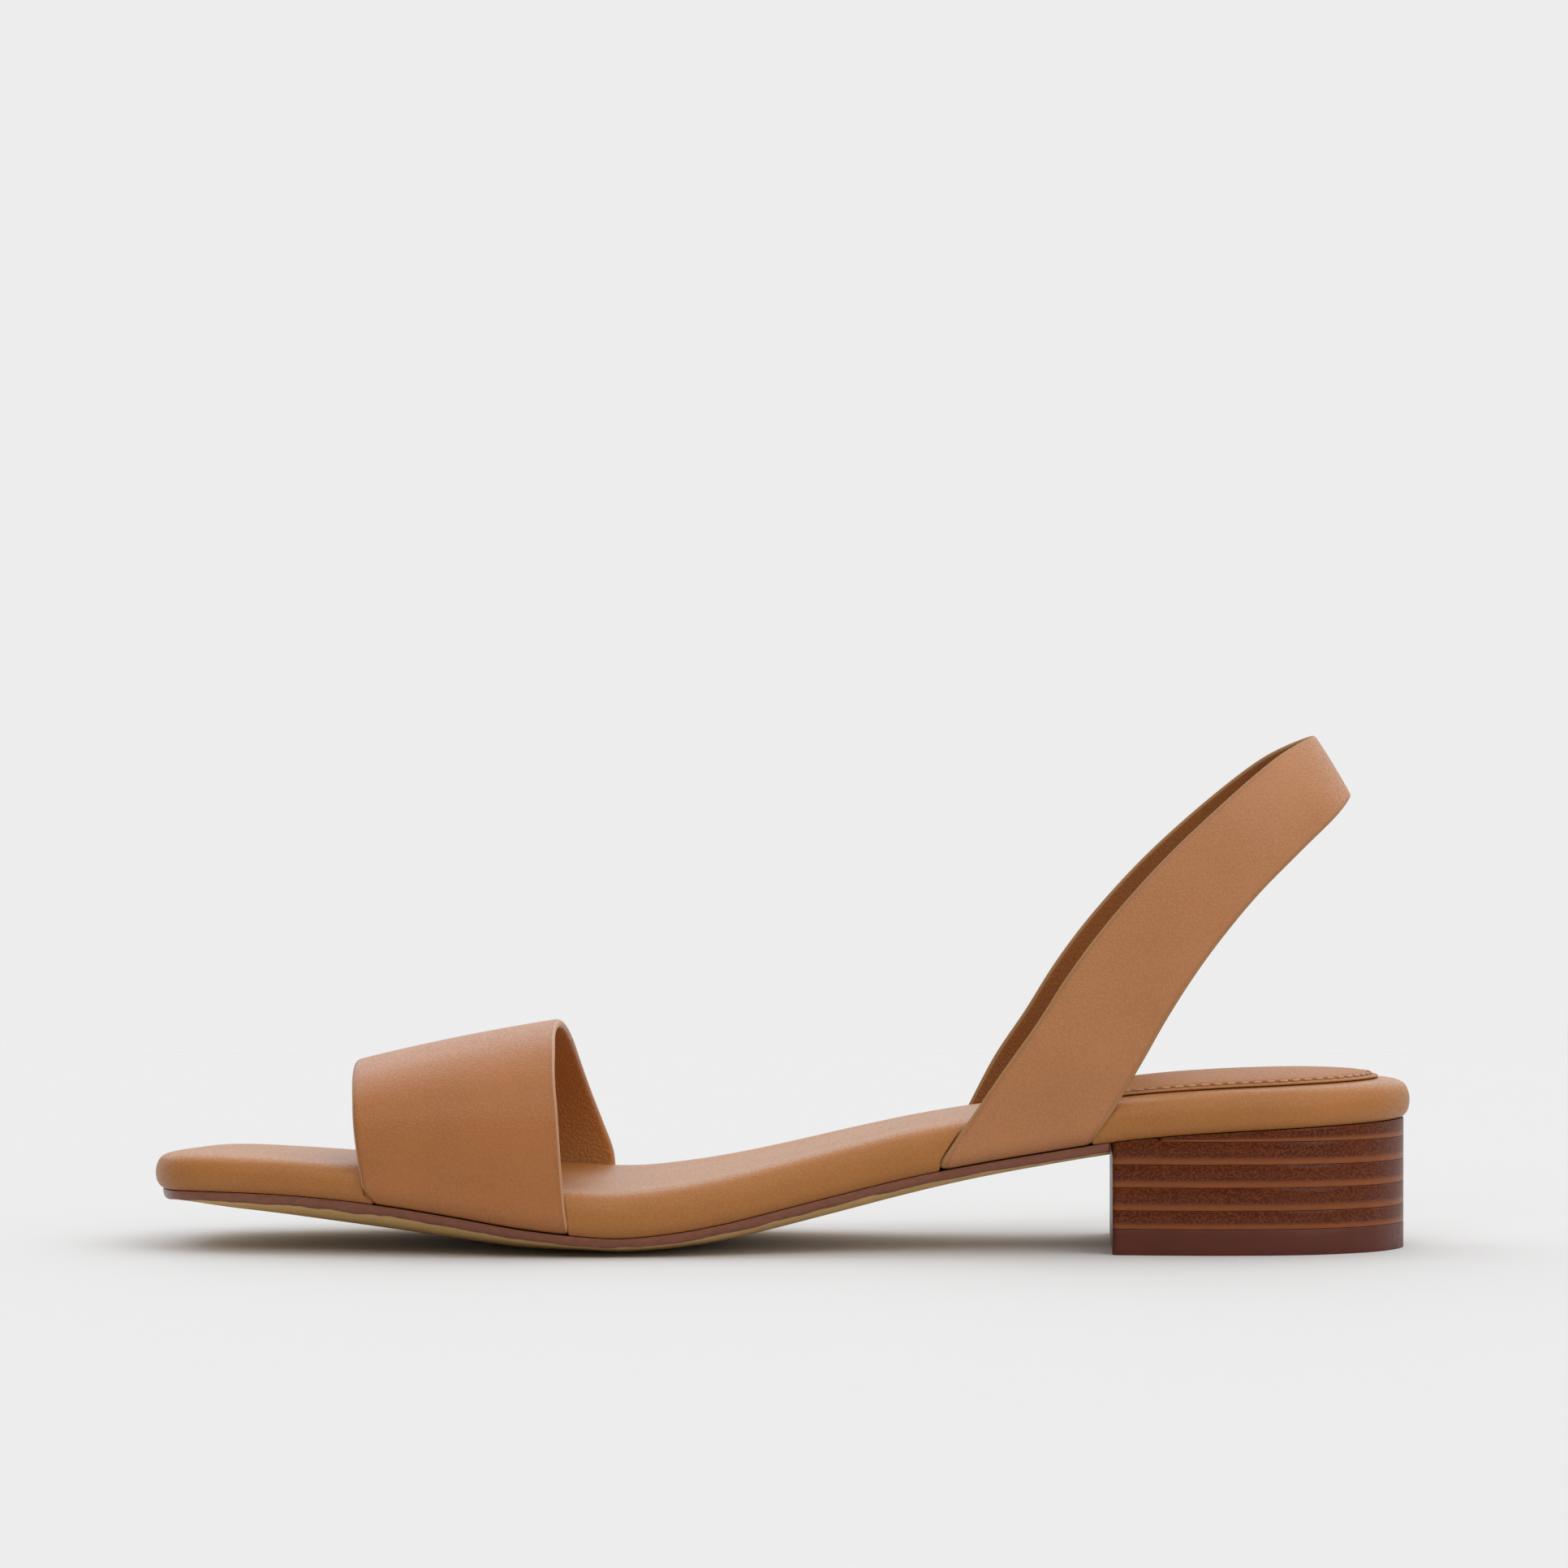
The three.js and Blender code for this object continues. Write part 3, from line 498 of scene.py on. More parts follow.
def remap(tree, value, low, high, to_low=0.0, to_high=1.0):
    """A value stretched from one range to another, smoothly clamped."""
    inputs = {"Value": value, "From Min": low, "From Max": high, "To Min": to_low, "To Max": to_high}
    return node(tree, "ShaderNodeMapRange", inputs, interpolation_type="SMOOTHSTEP").outputs["Result"]


def blend(tree, share, a, b):
    """A colour between two others."""
    mix = node(tree, "ShaderNodeMix", data_type="RGBA")
    for key, value in ((0, share), (6, a), (7, b)):
        if isinstance(value, bpy.types.NodeSocket):
            tree.links.new(value, mix.inputs[key])
        elif key == 0:
            mix.inputs[key].default_value = value
        else:
            mix.inputs[key].default_value = (*value[:3], 1)
    return mix.outputs[2]


def combine(tree, operation, a, b):
    """Two values put together."""
    return node(tree, "ShaderNodeMath", {0: a, 1: b}, operation=operation).outputs[0]


def weighted(tree, a, share_a, b, share_b):
    """Two values added, each in its share."""
    return combine(tree, "ADD", combine(tree, "MULTIPLY", a, share_a), combine(tree, "MULTIPLY", b, share_b))


def shaded(colour, factor):
    return tuple(c * factor for c in colour[:3])


def leather(name, colour, grain_mm, grain_depth_mm, roughness, mottle=0.07, shine=0.36):
    """Smooth leather: a fine pebble grain, and a soft mottling and roughness that follow it."""
    material, tree, shader = new_material(name, **{"Specular IOR Level": shine})
    coords = node(tree, "ShaderNodeTexCoord").outputs["Object"]
    wobble = node(tree, "ShaderNodeTexNoise", {"Vector": coords, "Scale": 600.0, "Detail": 2.0})
    inputs = {0: wobble.outputs["Color"], "Scale": 0.0006}
    shift = node(tree, "ShaderNodeVectorMath", inputs, operation="SCALE")
    bent = node(tree, "ShaderNodeVectorMath", {0: coords, 1: shift.outputs[0]}, operation="ADD").outputs[0]
    cells = node(tree, "ShaderNodeTexVoronoi", {"Vector": bent, "Scale": 1 / (grain_mm * MM)}, feature="F1")
    pebble = remap(tree, cells.outputs["Distance"], 0.1, 0.7, 1.0, 0.0)
    hair = object_noise(tree, grain_mm * 0.9, 3.0)
    height = weighted(tree, pebble, 0.6, hair, 0.8)
    inputs = {"Height": height, "Strength": 1.0, "Distance": grain_depth_mm * MM}
    tree.links.new(node(tree, "ShaderNodeBump", inputs).outputs["Normal"], shader.inputs["Normal"])
    gloss = remap(tree, height, 0.3, 1.0, roughness + 0.1, roughness - 0.07)
    tree.links.new(gloss, shader.inputs["Roughness"])
    broad = object_noise(tree, 17.0, 2.0)
    share = remap(tree, weighted(tree, broad, 0.5, height, 0.5), 0.32, 0.72)
    tint = blend(tree, share, shaded(colour, 1 - mottle), shaded(colour, 1 + mottle))
    tree.links.new(tint, shader.inputs["Base Color"])
    return material, tree, shader, tint


class SandalSizes(bpy.types.PropertyGroup):
    """Sizes that belong to the finish and not to the model."""

    front_strap_edge: FloatProperty(
        name="Front strap edge", description="Depth of the front strap's rounded edge", default=0.001,
        unit="LENGTH",
    )
    sling_edge: FloatProperty(
        name="Sling edge", description="Depth of the sling's rounded edge", default=0.0012, unit="LENGTH"
    )
    strap_corner: FloatProperty(
        name="Strap corner", description="Radius of the front strap's lower front corner", default=0.0018,
        unit="LENGTH",
    )
    press_fall: FloatProperty(
        name="Press fall", description="Width over which the pad gives way beside a strap",
        default=0.006, unit="LENGTH",
    )
    press_depth: FloatProperty(
        name="Press depth", description="How far the pad gives way beside a strap", default=0.0003,
        unit="LENGTH",
    )
    dish: FloatProperty(
        name="Dish", description="Depth of the footbed's top between its ridges", default=0.0007,
        unit="LENGTH",
    )
    stitch_pitch: FloatProperty(
        name="Stitch pitch", description="Distance from one stitch to the next", default=0.0026, unit="LENGTH"
    )
    stitch_length: FloatProperty(
        name="Stitch length", description="Length of one stitch that shows", default=0.0019, unit="LENGTH"
    )
    thread: FloatProperty(
        name="Thread", description="Thickness of the sewing thread", default=0.00055, unit="LENGTH"
    )
    stitch_inset: FloatProperty(
        name="Stitch inset", description="Distance of the stitches from the sock's edge",
        default=0.0015, unit="LENGTH",
    )
    grain: FloatProperty(
        name="Leather grain", description="Size of one pebble of the leather's grain", default=0.0005,
        unit="LENGTH",
    )
    lift_edge: FloatProperty(
        name="Lift edge", description="Rounding of each heel lift's edges", default=0.0001, unit="LENGTH"
    )


def colour_property(name, description, default):
    return FloatVectorProperty(
        name=name, description=description, default=default, subtype="COLOR", size=3, min=0, max=1
    )


class SandalColours(bpy.types.PropertyGroup):
    """Colours of the materials."""

    footbed: colour_property("Footbed", "Wrap of the footbed", (0.35, 0.135, 0.032))
    strap: colour_property("Front strap", "Outer leather of the front strap", (0.355, 0.13, 0.037))
    sling: colour_property("Sling", "Outer leather of the sling strap", (0.4, 0.165, 0.063))
    lining: colour_property("Lining", "Inner leather of the front strap", (0.45, 0.19, 0.06))
    sling_lining: colour_property("Sling lining", "Inner leather of the sling strap", (0.26, 0.096, 0.028))
    # The front strap's edge colour is partly edge paint and partly painted highlight: it is lighter than the
    # strap to stand for the sheen on its rounded edge.
    strap_edge: colour_property("Front strap edge", "Edge of the front strap", (0.42, 0.22, 0.11))
    sling_edge: colour_property("Sling edge", "Edge of the sling strap", (0.36, 0.19, 0.08))
    sock: colour_property("Sock", "Leather of the heel sock", (0.34, 0.132, 0.038))
    thread: colour_property("Thread", "Sewing thread", (0.5, 0.25, 0.11))
    sole_edge: colour_property("Sole edge", "Painted edge of the outsole", (0.185, 0.062, 0.032))
    underside: colour_property("Underside", "Underside of the outsole", (0.72, 0.45, 0.18))
    lift_dark: colour_property("Lift dark", "Dark upper part of each lift", (0.05, 0.0065, 0.0008))
    lift_fleck: colour_property("Lift fleck", "Fibres in the dark part", (0.13, 0.03, 0.0065))
    lift_light: colour_property("Lift light", "Light band at the foot of each lift", (0.235, 0.066, 0.017))
    top_piece: colour_property("Top piece", "Solid piece on the floor", (0.09, 0.019, 0.009))


class StageSettings(bpy.types.PropertyGroup):
    """Camera, floor and light."""

    camera_distance: FloatProperty(
        name="Camera distance", description="From the sandal's middle, along the floor", default=1.3,
        unit="LENGTH",
    )
    camera_height: FloatProperty(
        name="Camera height", description="Over the floor", default=0.1017, unit="LENGTH"
    )
    camera_yaw: FloatProperty(
        name="Camera yaw", description="Turn of the camera round the sandal", default=math.radians(2.3),
        subtype="ANGLE",
    )
    aim_height: FloatProperty(
        name="Aim height", description="Height of the point in the middle of the view", default=0.0917,
        unit="LENGTH",
    )
    lens: FloatProperty(name="Lens", description="Focal length in millimetres", default=149.5)
    backdrop: colour_property("Backdrop", "Colour behind the sandal", (0.847, 0.847, 0.847))
    floor: colour_property("Floor", "Colour of the floor", (0.64, 0.64, 0.64))
    sky_front: FloatProperty(name="Sky in front", description="Light from the camera's side", default=0.1)
    sky_back: FloatProperty(name="Sky behind", description="Light from behind the sandal", default=0.73)
    top_light: FloatProperty(
        name="Top light", description="Strength of the light from above", default=1.75
    )
    front_light: FloatProperty(
        name="Front light", description="Strength of the light from the front", default=0.6
    )
    side_light: FloatProperty(
        name="Side light", description="Strength of the light from the right", default=1.15
    )
    low_light: FloatProperty(
        name="Low light", description="Strength of the light along the floor", default=0.4
    )


def strap_windows(corner):
    """Where each strap end passes the outline: distances along it, slant, front edge and round corner."""
    windows = []
    for side in (MEDIAL, LATERAL):
        lengths = PERIMETER[: TURN + 1] if side == MEDIAL else PERIMETER[TURN:][::-1]
        for start, length, rake, set_back, radius in (
            (FRONT_STRAP_START, FRONT_STRAP_BASE_LENGTH, FRONT_STRAP_RAKE, FRONT_STRAP_SET_BACK, corner),
            (SLING_START, SLING_BASE_LENGTH, SLING_RAKE, 0.0, 0.0),
        ):
            first = start + (set_back if side == LATERAL else 0)
            front, rear = np.interp([first, first + length], SIDES[side][:, 0], lengths)
            windows.append((min(front, rear), max(front, rear), rake * -side, front, radius * -side))
    return windows


def footbed_places(windows):
    """Distances along the outline for the footbed's points, closer together at each strap's edges."""
    places = np.linspace(0, PERIMETER[-1], FOOTBED_POINTS, endpoint=False)
    near = []
    for low, high, *_ in windows:
        places = places[(abs(places - low) > 1.7) & (abs(places - high) > 1.7)]
        for gap in PRESS_PLACES:
            near += [low - gap, high + gap]
    return np.sort(np.concatenate([places, near]))


def corner_cut(corner, rise):
    """How far a strap's round front corner stands back at a height over its fold."""
    left = np.clip(abs(corner) - rise, 0, abs(corner))
    return np.sign(corner) * (abs(corner) - np.sqrt(corner * corner - left * left))


def footbed_rings(fall, depth, dish, corner):
    """Rings of the padded footbed, pressed in by the straps and dipped softly beside them."""
    windows = strap_windows(corner)
    places = footbed_places(windows)
    beyond = [np.maximum(low - places, places - high) for low, high, *_ in windows]
    hard = np.max([smooth_step(PRESS_STEP[1], PRESS_STEP[0], gap) for gap in beyond], axis=0)
    soft = np.max([smooth_step(fall, 0.0, gap) for gap in beyond], axis=0) * depth

    def outline(rise):
        shift = np.zeros(len(places))
        for gap, (low, high, slant, front, radius) in zip(beyond, windows):
            ahead = np.clip(1 - abs(places - front) / (high - low), 0, 1)
            climb = np.maximum(rise - STRAP_WALL / 2, 1.1 * ahead)
            shift = shift + slant * smooth_step(16, 3, gap) * climb
            shift = shift + corner_cut(radius, rise) * smooth_step(7, 1.6, abs(places - front))
        ring = outline_at(places + shift)
        return ring, inward_at(places + shift)

    rings = []
    base, inward = outline(np.zeros(len(places)))
    under = base + inward * EDGE_ROLL[0][0] * FOOTBED_EDGE_ROLL
    for share in reversed(TOP_SHARES):
        ring = drawn_in(under, share)
        tongue = smooth_step(STRAP_TONGUE + 3, STRAP_TONGUE + 1, depth_at(ring))
        lift = (STRAP_WALL + PRESS_CLEARANCE) * hard * tongue
        rings.append(raised(ring, seat_height(ring[:, 0], ring[:, 1]) + lift))
    for inset, up in spline(EDGE_ROLL, np.linspace(0, 1, ROLL_STEPS)):
        base, inward = outline(thickness_at(base[:, 0]) * up)
        deep = inset * FOOTBED_EDGE_ROLL + soft * swell_at(min(max(up, 0.0), 1.0) * 0.8 + 0.1)
        deep = deep + hard * np.maximum(0.0, STRAP_SINK + PRESS_CLEARANCE - deep)
        ring = base + inward * deep[:, None]
        rise = thickness_at(ring[:, 0]) * up
        rise = rise + hard * np.maximum(0, STRAP_WALL + PRESS_CLEARANCE - rise)
        rings.append(raised(ring, seat_height(ring[:, 0], ring[:, 1]) + rise))
    rim = base + inward * FOOTBED_EDGE_ROLL
    for share in TOP_SHARES:
        ring = drawn_in(rim, share)
        rings.append(raised(ring, top_height(ring, dish)))
    return rings


class SANDAL_OT_footbed(bpy.types.Operator):
    """Make the padded footbed in its leather wrap"""

    bl_idname = "sandal.footbed"
    bl_label = "Footbed"

    def execute(self, context):
        sizes = context.scene.sandal_sizes
        colours = context.scene.sandal_colours
        rings = footbed_rings(sizes.press_fall / MM, sizes.press_depth / MM, sizes.dish / MM,
                              sizes.strap_corner / MM)
        points, faces = ring_solid(rings)
        wrap = leather("footbed wrap leather", colours.footbed, sizes.grain / MM, 0.05, 0.39, shine=0.34)[0]
        piece = make_piece("footbed_wrap", points, faces, [wrap], ring=len(rings[0]))
        seat_piece(piece, "footbed_leather", "footbed")
        return {"FINISHED"}


SOCK_POINTS = 300
SOCK_UNDER_SHARES = (0.97, 0.7, 0.35)
SOCK_TOP_SHARES = (0.12, 0.26, 0.42, 0.6, 0.8, 0.97)

# Edge of the heel sock with the groove of its stitches: distance inwards, share of the thickness upwards
SOCK_RINGS = (
    (0.0, 0.0),
    (0.0, 0.2),
    (0.08, 0.34),
    (0.3, 0.42),
    (0.7, 0.44),
    (1.1, 0.43),
    (1.35, 0.37),
    (1.55, 0.34),
    (1.75, 0.38),
    (1.95, 0.5),
    (2.2, 0.62),
    (2.7, 0.69),
    (3.4, 0.73),
    (4.2, 0.75),
    (5.2, 0.76),
)


def sock_outline():
    """Outline of the heel sock: straight front, round corners and the footbed's own curve behind."""
    front = FOOTBED_LENGTH - SOCK_LENGTH
    base = evenly(FINE_OUTLINE, FOOTBED_POINTS)
    inset = base + inward_of(base) * SOCK_MARGIN
    behind = inset[inset[:, 0] > front + SOCK_CORNER]
    angles = np.unwrap(np.arctan2(behind[:, 1], behind[:, 0] - (front + SOCK_CORNER)))
    behind = behind[np.argsort(angles)]
    turns = np.linspace(0, math.pi / 2, 10)[1:]

    def corner(side):
        edge = edge_at(front + SOCK_CORNER, side) - side * SOCK_MARGIN
        x = front + SOCK_CORNER * (1 - np.sin(turns))
        return np.stack([x, edge - side * SOCK_CORNER * (1 - np.cos(turns))], axis=1)

    return evenly(np.vstack([behind, corner(LATERAL), corner(MEDIAL)[::-1]]), SOCK_POINTS)


def sock_top(points, share=1.0):
    return top_height(points) + SEAM * 0.2 + (SOCK_THICKNESS + SEAM * 0.8) * share


def sock_rings():
    """Rings of the sewn heel sock, with the row of stitches pulled down into it."""
    outline = sock_outline()
    inward = inward_of(outline)
    start = FOOTBED_LENGTH - SOCK_LENGTH + SEAT_WIDTH / 4
    rings = []
    for share in SOCK_UNDER_SHARES:
        ring = drawn_in(outline, share, start)
        rings.append(raised(ring, sock_top(ring, 0.0)))
    for inset, up in SOCK_RINGS:
        ring = outline + inward * inset
        rings.append(raised(ring, sock_top(ring, up)))
    last = outline + inward * SOCK_RINGS[-1][0]
    for share in SOCK_TOP_SHARES:
        ring = drawn_in(last, share, start)
        rings.append(raised(ring, sock_top(ring, SOCK_RINGS[-1][1])))
    return rings


def stitch_tree(material):
    """Geometry nodes that lay stitches along a closed line."""
    tree = bpy.data.node_groups.new("stitches along a line", "GeometryNodeTree")
    tree.interface.new_socket("Geometry", in_out="INPUT", socket_type="NodeSocketGeometry")
    for label in ("Pitch", "Length", "Thread"):
        tree.interface.new_socket(label, in_out="INPUT", socket_type="NodeSocketFloat")
    tree.interface.new_socket("Geometry", in_out="OUTPUT", socket_type="NodeSocketGeometry")
    given = node(tree, "NodeGroupInput").outputs
    line = node(tree, "GeometryNodeMeshToCurve", {"Mesh": given["Geometry"]}).outputs["Curve"]
    even = node(tree, "GeometryNodeResampleCurve", {"Curve": line, "Length": given["Pitch"]}, mode="LENGTH")
    tangent = node(tree, "GeometryNodeInputTangent").outputs["Tangent"]
    turn = node(tree, "FunctionNodeAlignRotationToVector", {"Vector": tangent}, axis="X").outputs["Rotation"]
    bead = node(tree, "GeometryNodeMeshUVSphere", {"Segments": 8, "Rings": 6, "Radius": 0.5}).outputs["Mesh"]
    scale = node(
        tree,
        "ShaderNodeCombineXYZ",
        {"X": given["Length"], "Y": given["Thread"], "Z": given["Thread"]},
    ).outputs["Vector"]
    placed = node(
        tree,
        "GeometryNodeInstanceOnPoints",
        {"Points": even.outputs["Curve"], "Instance": bead, "Rotation": turn, "Scale": scale},
    ).outputs["Instances"]
    real = node(tree, "GeometryNodeRealizeInstances", {"Geometry": placed}).outputs["Geometry"]
    smooth = node(tree, "GeometryNodeSetShadeSmooth", {"Geometry": real}).outputs["Geometry"]
    inputs = {"Geometry": smooth, "Material": material}
    dressed = node(tree, "GeometryNodeSetMaterial", inputs).outputs["Geometry"]
    node(tree, "NodeGroupOutput", {"Geometry": dressed})
    return tree


def stitched(name, line, material, sizes):
    """A plain mesh of stitches along a closed line of points in millimetres."""
    count = len(line)
    mesh = bpy.data.meshes.new(name + " line")
    edges = [(i, (i + 1) % count) for i in range(count)]
    mesh.from_pydata([tuple(p) for p in line * MM + np.array(ORIGIN)], edges, [])
    guide = bpy.data.objects.new(name + " line", mesh)
    bpy.context.scene.collection.objects.link(guide)
    tree = stitch_tree(material)
    sewing = guide.modifiers.new("stitches", "NODES")
    sewing.node_group = tree
    values = {"Pitch": sizes.stitch_pitch, "Length": sizes.stitch_length, "Thread": sizes.thread}
    for socket in tree.interface.items_tree:
        if socket.in_out == "INPUT" and socket.name in values:
            sewing[socket.identifier] = values[socket.name]
    bpy.context.view_layer.update()
    seen = guide.evaluated_get(bpy.context.evaluated_depsgraph_get())
    made = bpy.data.meshes.new_from_object(seen)
    made.name = name
    bpy.data.objects.remove(guide)
    piece = bpy.data.objects.new(name, made)
    bpy.context.scene.collection.objects.link(piece)
    return piece


class SANDAL_OT_heel_sock(bpy.types.Operator):
    """Make the heel sock and the stitches round its edge"""

    bl_idname = "sandal.heel_sock"
    bl_label = "Heel sock"

    def execute(self, context):
        sizes = context.scene.sandal_sizes
        colours = context.scene.sandal_colours
        rings = sock_rings()
        points, faces = ring_solid(rings)
        grain = sizes.grain / MM
        cover, tree, shader, tint = leather("heel sock leather", colours.sock, grain, 0.05, 0.5, shine=0.24)
        # Painted shade: the attribute read here darkens the sock towards 0.4 of its colour, standing for the
        # shadow in the stitch groove and under the sock's lower edge.
        stitch_shade = node(tree, "ShaderNodeAttribute", attribute_name="painted_stitch_shade").outputs["Fac"]
        tree.links.new(blend(tree, stitch_shade, tint, shaded(colours.sock, 0.4)), shader.inputs["Base Color"])
        under = len(SOCK_UNDER_SHARES)
        insets = [0.0] * under + [inset for inset, _ in SOCK_RINGS] + [math.inf] * len(SOCK_TOP_SHARES)
        # Painted shade mask: strongest on the rings just behind the stitch row, and a fixed 0.2 on the sock's
        # underside and lowest edge ring.
        near = np.clip(1.3 - abs(np.array(insets) - sizes.stitch_inset / MM - 0.25) / 0.4, 0, 1)
        near[:under + 1] = 0.2
        stitch_shade_rings = np.repeat(near, SOCK_POINTS)
        pad = make_piece("heel_sock_pad", points, faces, [cover], shares={"painted_stitch_shade": stitch_shade_rings},
                         ring=SOCK_POINTS)
        seat_piece(pad, "sock_leather", "heel_sock")

        outline = sock_outline()
        row = outline + inward_of(outline) * (sizes.stitch_inset / MM)
        line = raised(row, sock_top(row, 0.52))
        thread, tree, shader = new_material("sewing thread", Roughness=0.6)
        twist = object_noise(tree, 0.35, 1.0)
        yarn = blend(tree, twist, shaded(colours.thread, 0.75), shaded(colours.thread, 1.25))
        tree.links.new(yarn, shader.inputs["Base Color"])
        seat_piece(stitched("heel_sock_stitches", line, thread, sizes), "sock_leather")
        return {"FINISHED"}


def strap_edge_at(x, side):
    """Y of a strap's middle surface where it climbs beside the footbed."""
    return edge_at(x, side) - side * (STRAP_SINK - STRAP_WALL / 2)


def swell_at(v):
    return 4 * v * (1 - v)


def strap_end(base, side, rake):
    """The turned-under end of a strap and its climb round the footbed's edge."""
    thickness = thickness_at(base)
    rows = []
    for inward, up in STRAP_END:
        x = base + rake * up * thickness
        y = strap_edge_at(x, side) - side * inward * STRAP_TONGUE
        rows.append((x, y, seat_height(base, y) + STRAP_WALL / 2 + up * thickness))
    return rows


def rim_height(x, side):
    return seat_height(x, edge_at(x, side)) + thickness_at(x)


def front_strap_rows(v):
    """The line of the front strap at a share v of its width, from the inner to the outer side."""
    medial = FRONT_STRAP_START + v * FRONT_STRAP_BASE_LENGTH
    lateral = medial + FRONT_STRAP_SET_BACK
    crest = FRONT_CREST_HEIGHT + (REAR_CREST_HEIGHT - FRONT_CREST_HEIGHT) * v
    crest += FRONT_STRAP_SWELL * swell_at(v) - STRAP_WALL / 2
    arch = []
    for across, up, front, rear in ARCH:
        side = MEDIAL if across < 0 else LATERAL
        x = medial + (lateral - medial) * (1 + across) / 2
        lean = FRONT_STRAP_LEAN * (front + (rear - front) * v)
        rim = rim_height(x, side)
        arch.append((x - lean, abs(across) * strap_edge_at(x, side), rim + (crest - rim) * up))
    outer = strap_end(lateral, LATERAL, FRONT_STRAP_RAKE)[::-1]
    return strap_end(medial, MEDIAL, FRONT_STRAP_RAKE) + arch + outer


def sling_rows(v):
    """The line of the sling at a share v of its width, from the inner to the outer side."""
    base = SLING_START + v * SLING_BASE_LENGTH
    rim = base + SLING_RAKE * thickness_at(base)
    tilt = math.radians(SLING_BACK_TILT)
    back_x = FOOTBED_LENGTH - SLING_BACK_INSET - STRAP_WALL / 2 - (1 - v) * SLING_BACK_WIDTH * math.sin(tilt)
    back_z = SLING_HEIGHT - v * SLING_BACK_WIDTH * math.cos(tilt)
    swell = SLING_SWELL * swell_at(v)

    def climb(side):
        rows = []
        for up, front, rear, front_out, rear_out in SLING:
            out = front_out + (rear_out - front_out) * v
            lead = SLING_OUTER_LEAD * math.sin(math.pi * up) ** 0.35 if side == LATERAL else 0
            x = rim + (back_x - rim) * (front + (rear - front) * v) - lead
            low = rim_height(base, side)
            rows.append((x, strap_edge_at(rim, side) * out + side * swell, low + (back_z - low) * up))
        return rows

    return (
        strap_end(base, MEDIAL, SLING_RAKE)
        + climb(MEDIAL)
        + [(back_x + 0.15 * swell, middle_at(SPINE_TO), back_z)]
        + climb(LATERAL)[::-1]
        + strap_end(base, LATERAL, SLING_RAKE)[::-1]
    )


EDGE_ANGLES = np.radians((15, 35, 55, 75, 90, 105, 125, 145, 165))
OUTER_FACE, INNER_FACE, EDGE_FACE = 0, 1, 2


def strap_section(edge, columns):
    """Places round a strap's section: share across, share of half the wall, and the face that each starts."""
    flat = np.linspace(edge, 1 - edge, columns)
    half = (OUTER_FACE, *[EDGE_FACE] * 6, INNER_FACE, INNER_FACE)
    rear = [(1 - edge + edge * math.sin(a), math.cos(a), face) for a, face in zip(EDGE_ANGLES, half)]
    back = half[-2::-1] + (OUTER_FACE,)
    front = [(edge - edge * math.sin(a), -math.cos(a), face) for a, face in zip(EDGE_ANGLES, back)]
    outer = [(v, 1.0, OUTER_FACE) for v in flat]
    inner = [(v, -1.0, INNER_FACE) for v in flat[::-1]]
    return outer + rear + inner + front


def strap_piece(name, rows_at, width, columns, steps, edge_mm, corner, materials):
    """A strap of real thickness with rounded, painted edges and a round front corner at each lower end."""
    section = strap_section(edge_mm / width, columns)
    across = np.linspace(0, 1, columns)
    fine = np.linspace(0, 1, steps * 4)
    middle = spline(rows_at(0.5), fine)
    length = np.concatenate([[0], np.cumsum(np.linalg.norm(np.diff(middle, axis=0), axis=1))])
    along = np.interp(np.linspace(0, length[-1], steps), length, fine)
    sheet = np.array([spline(rows_at(v), along) for v in across])
    normal = np.cross(np.gradient(sheet, axis=0), np.gradient(sheet, axis=1))
    normal /= np.linalg.norm(normal, axis=2)[:, :, None]
    count = len(section)
    points = np.zeros((steps, count, 3))
    steps_at = np.arange(steps)
    run = np.linspace(0, length[-1], steps)
    cut = corner_cut(corner, np.minimum(run, length[-1] - run) - STRAP_TONGUE) / width
    for k, (v, lift, _) in enumerate(section):
        place = (v + cut * smooth_step(0.3, 0.0, v)) * (columns - 1)
        low = np.minimum(place.astype(int), columns - 2)
        share = (place - low)[:, None]
        surface = sheet[low, steps_at] * (1 - share) + sheet[low + 1, steps_at] * share
        out = normal[low, steps_at] * (1 - share) + normal[low + 1, steps_at] * share
        points[:, k] = surface + out * (lift * STRAP_WALL / 2)
    faces, slots = [], []
    for i in range(steps - 1):
        faces += ring_faces(i * count, count)
        slots += [face for _, _, face in section]
    faces.append(tuple(reversed(range(count))))
    faces.append(tuple(range((steps - 1) * count, steps * count)))
    slots += [EDGE_FACE, EDGE_FACE]
    edge_gap = np.tile([min(v, 1 - v) * width for v, _, _ in section], steps)
    return make_piece(name, points.reshape(-1, 3), faces, materials, slots, {"edge_gap": edge_gap})


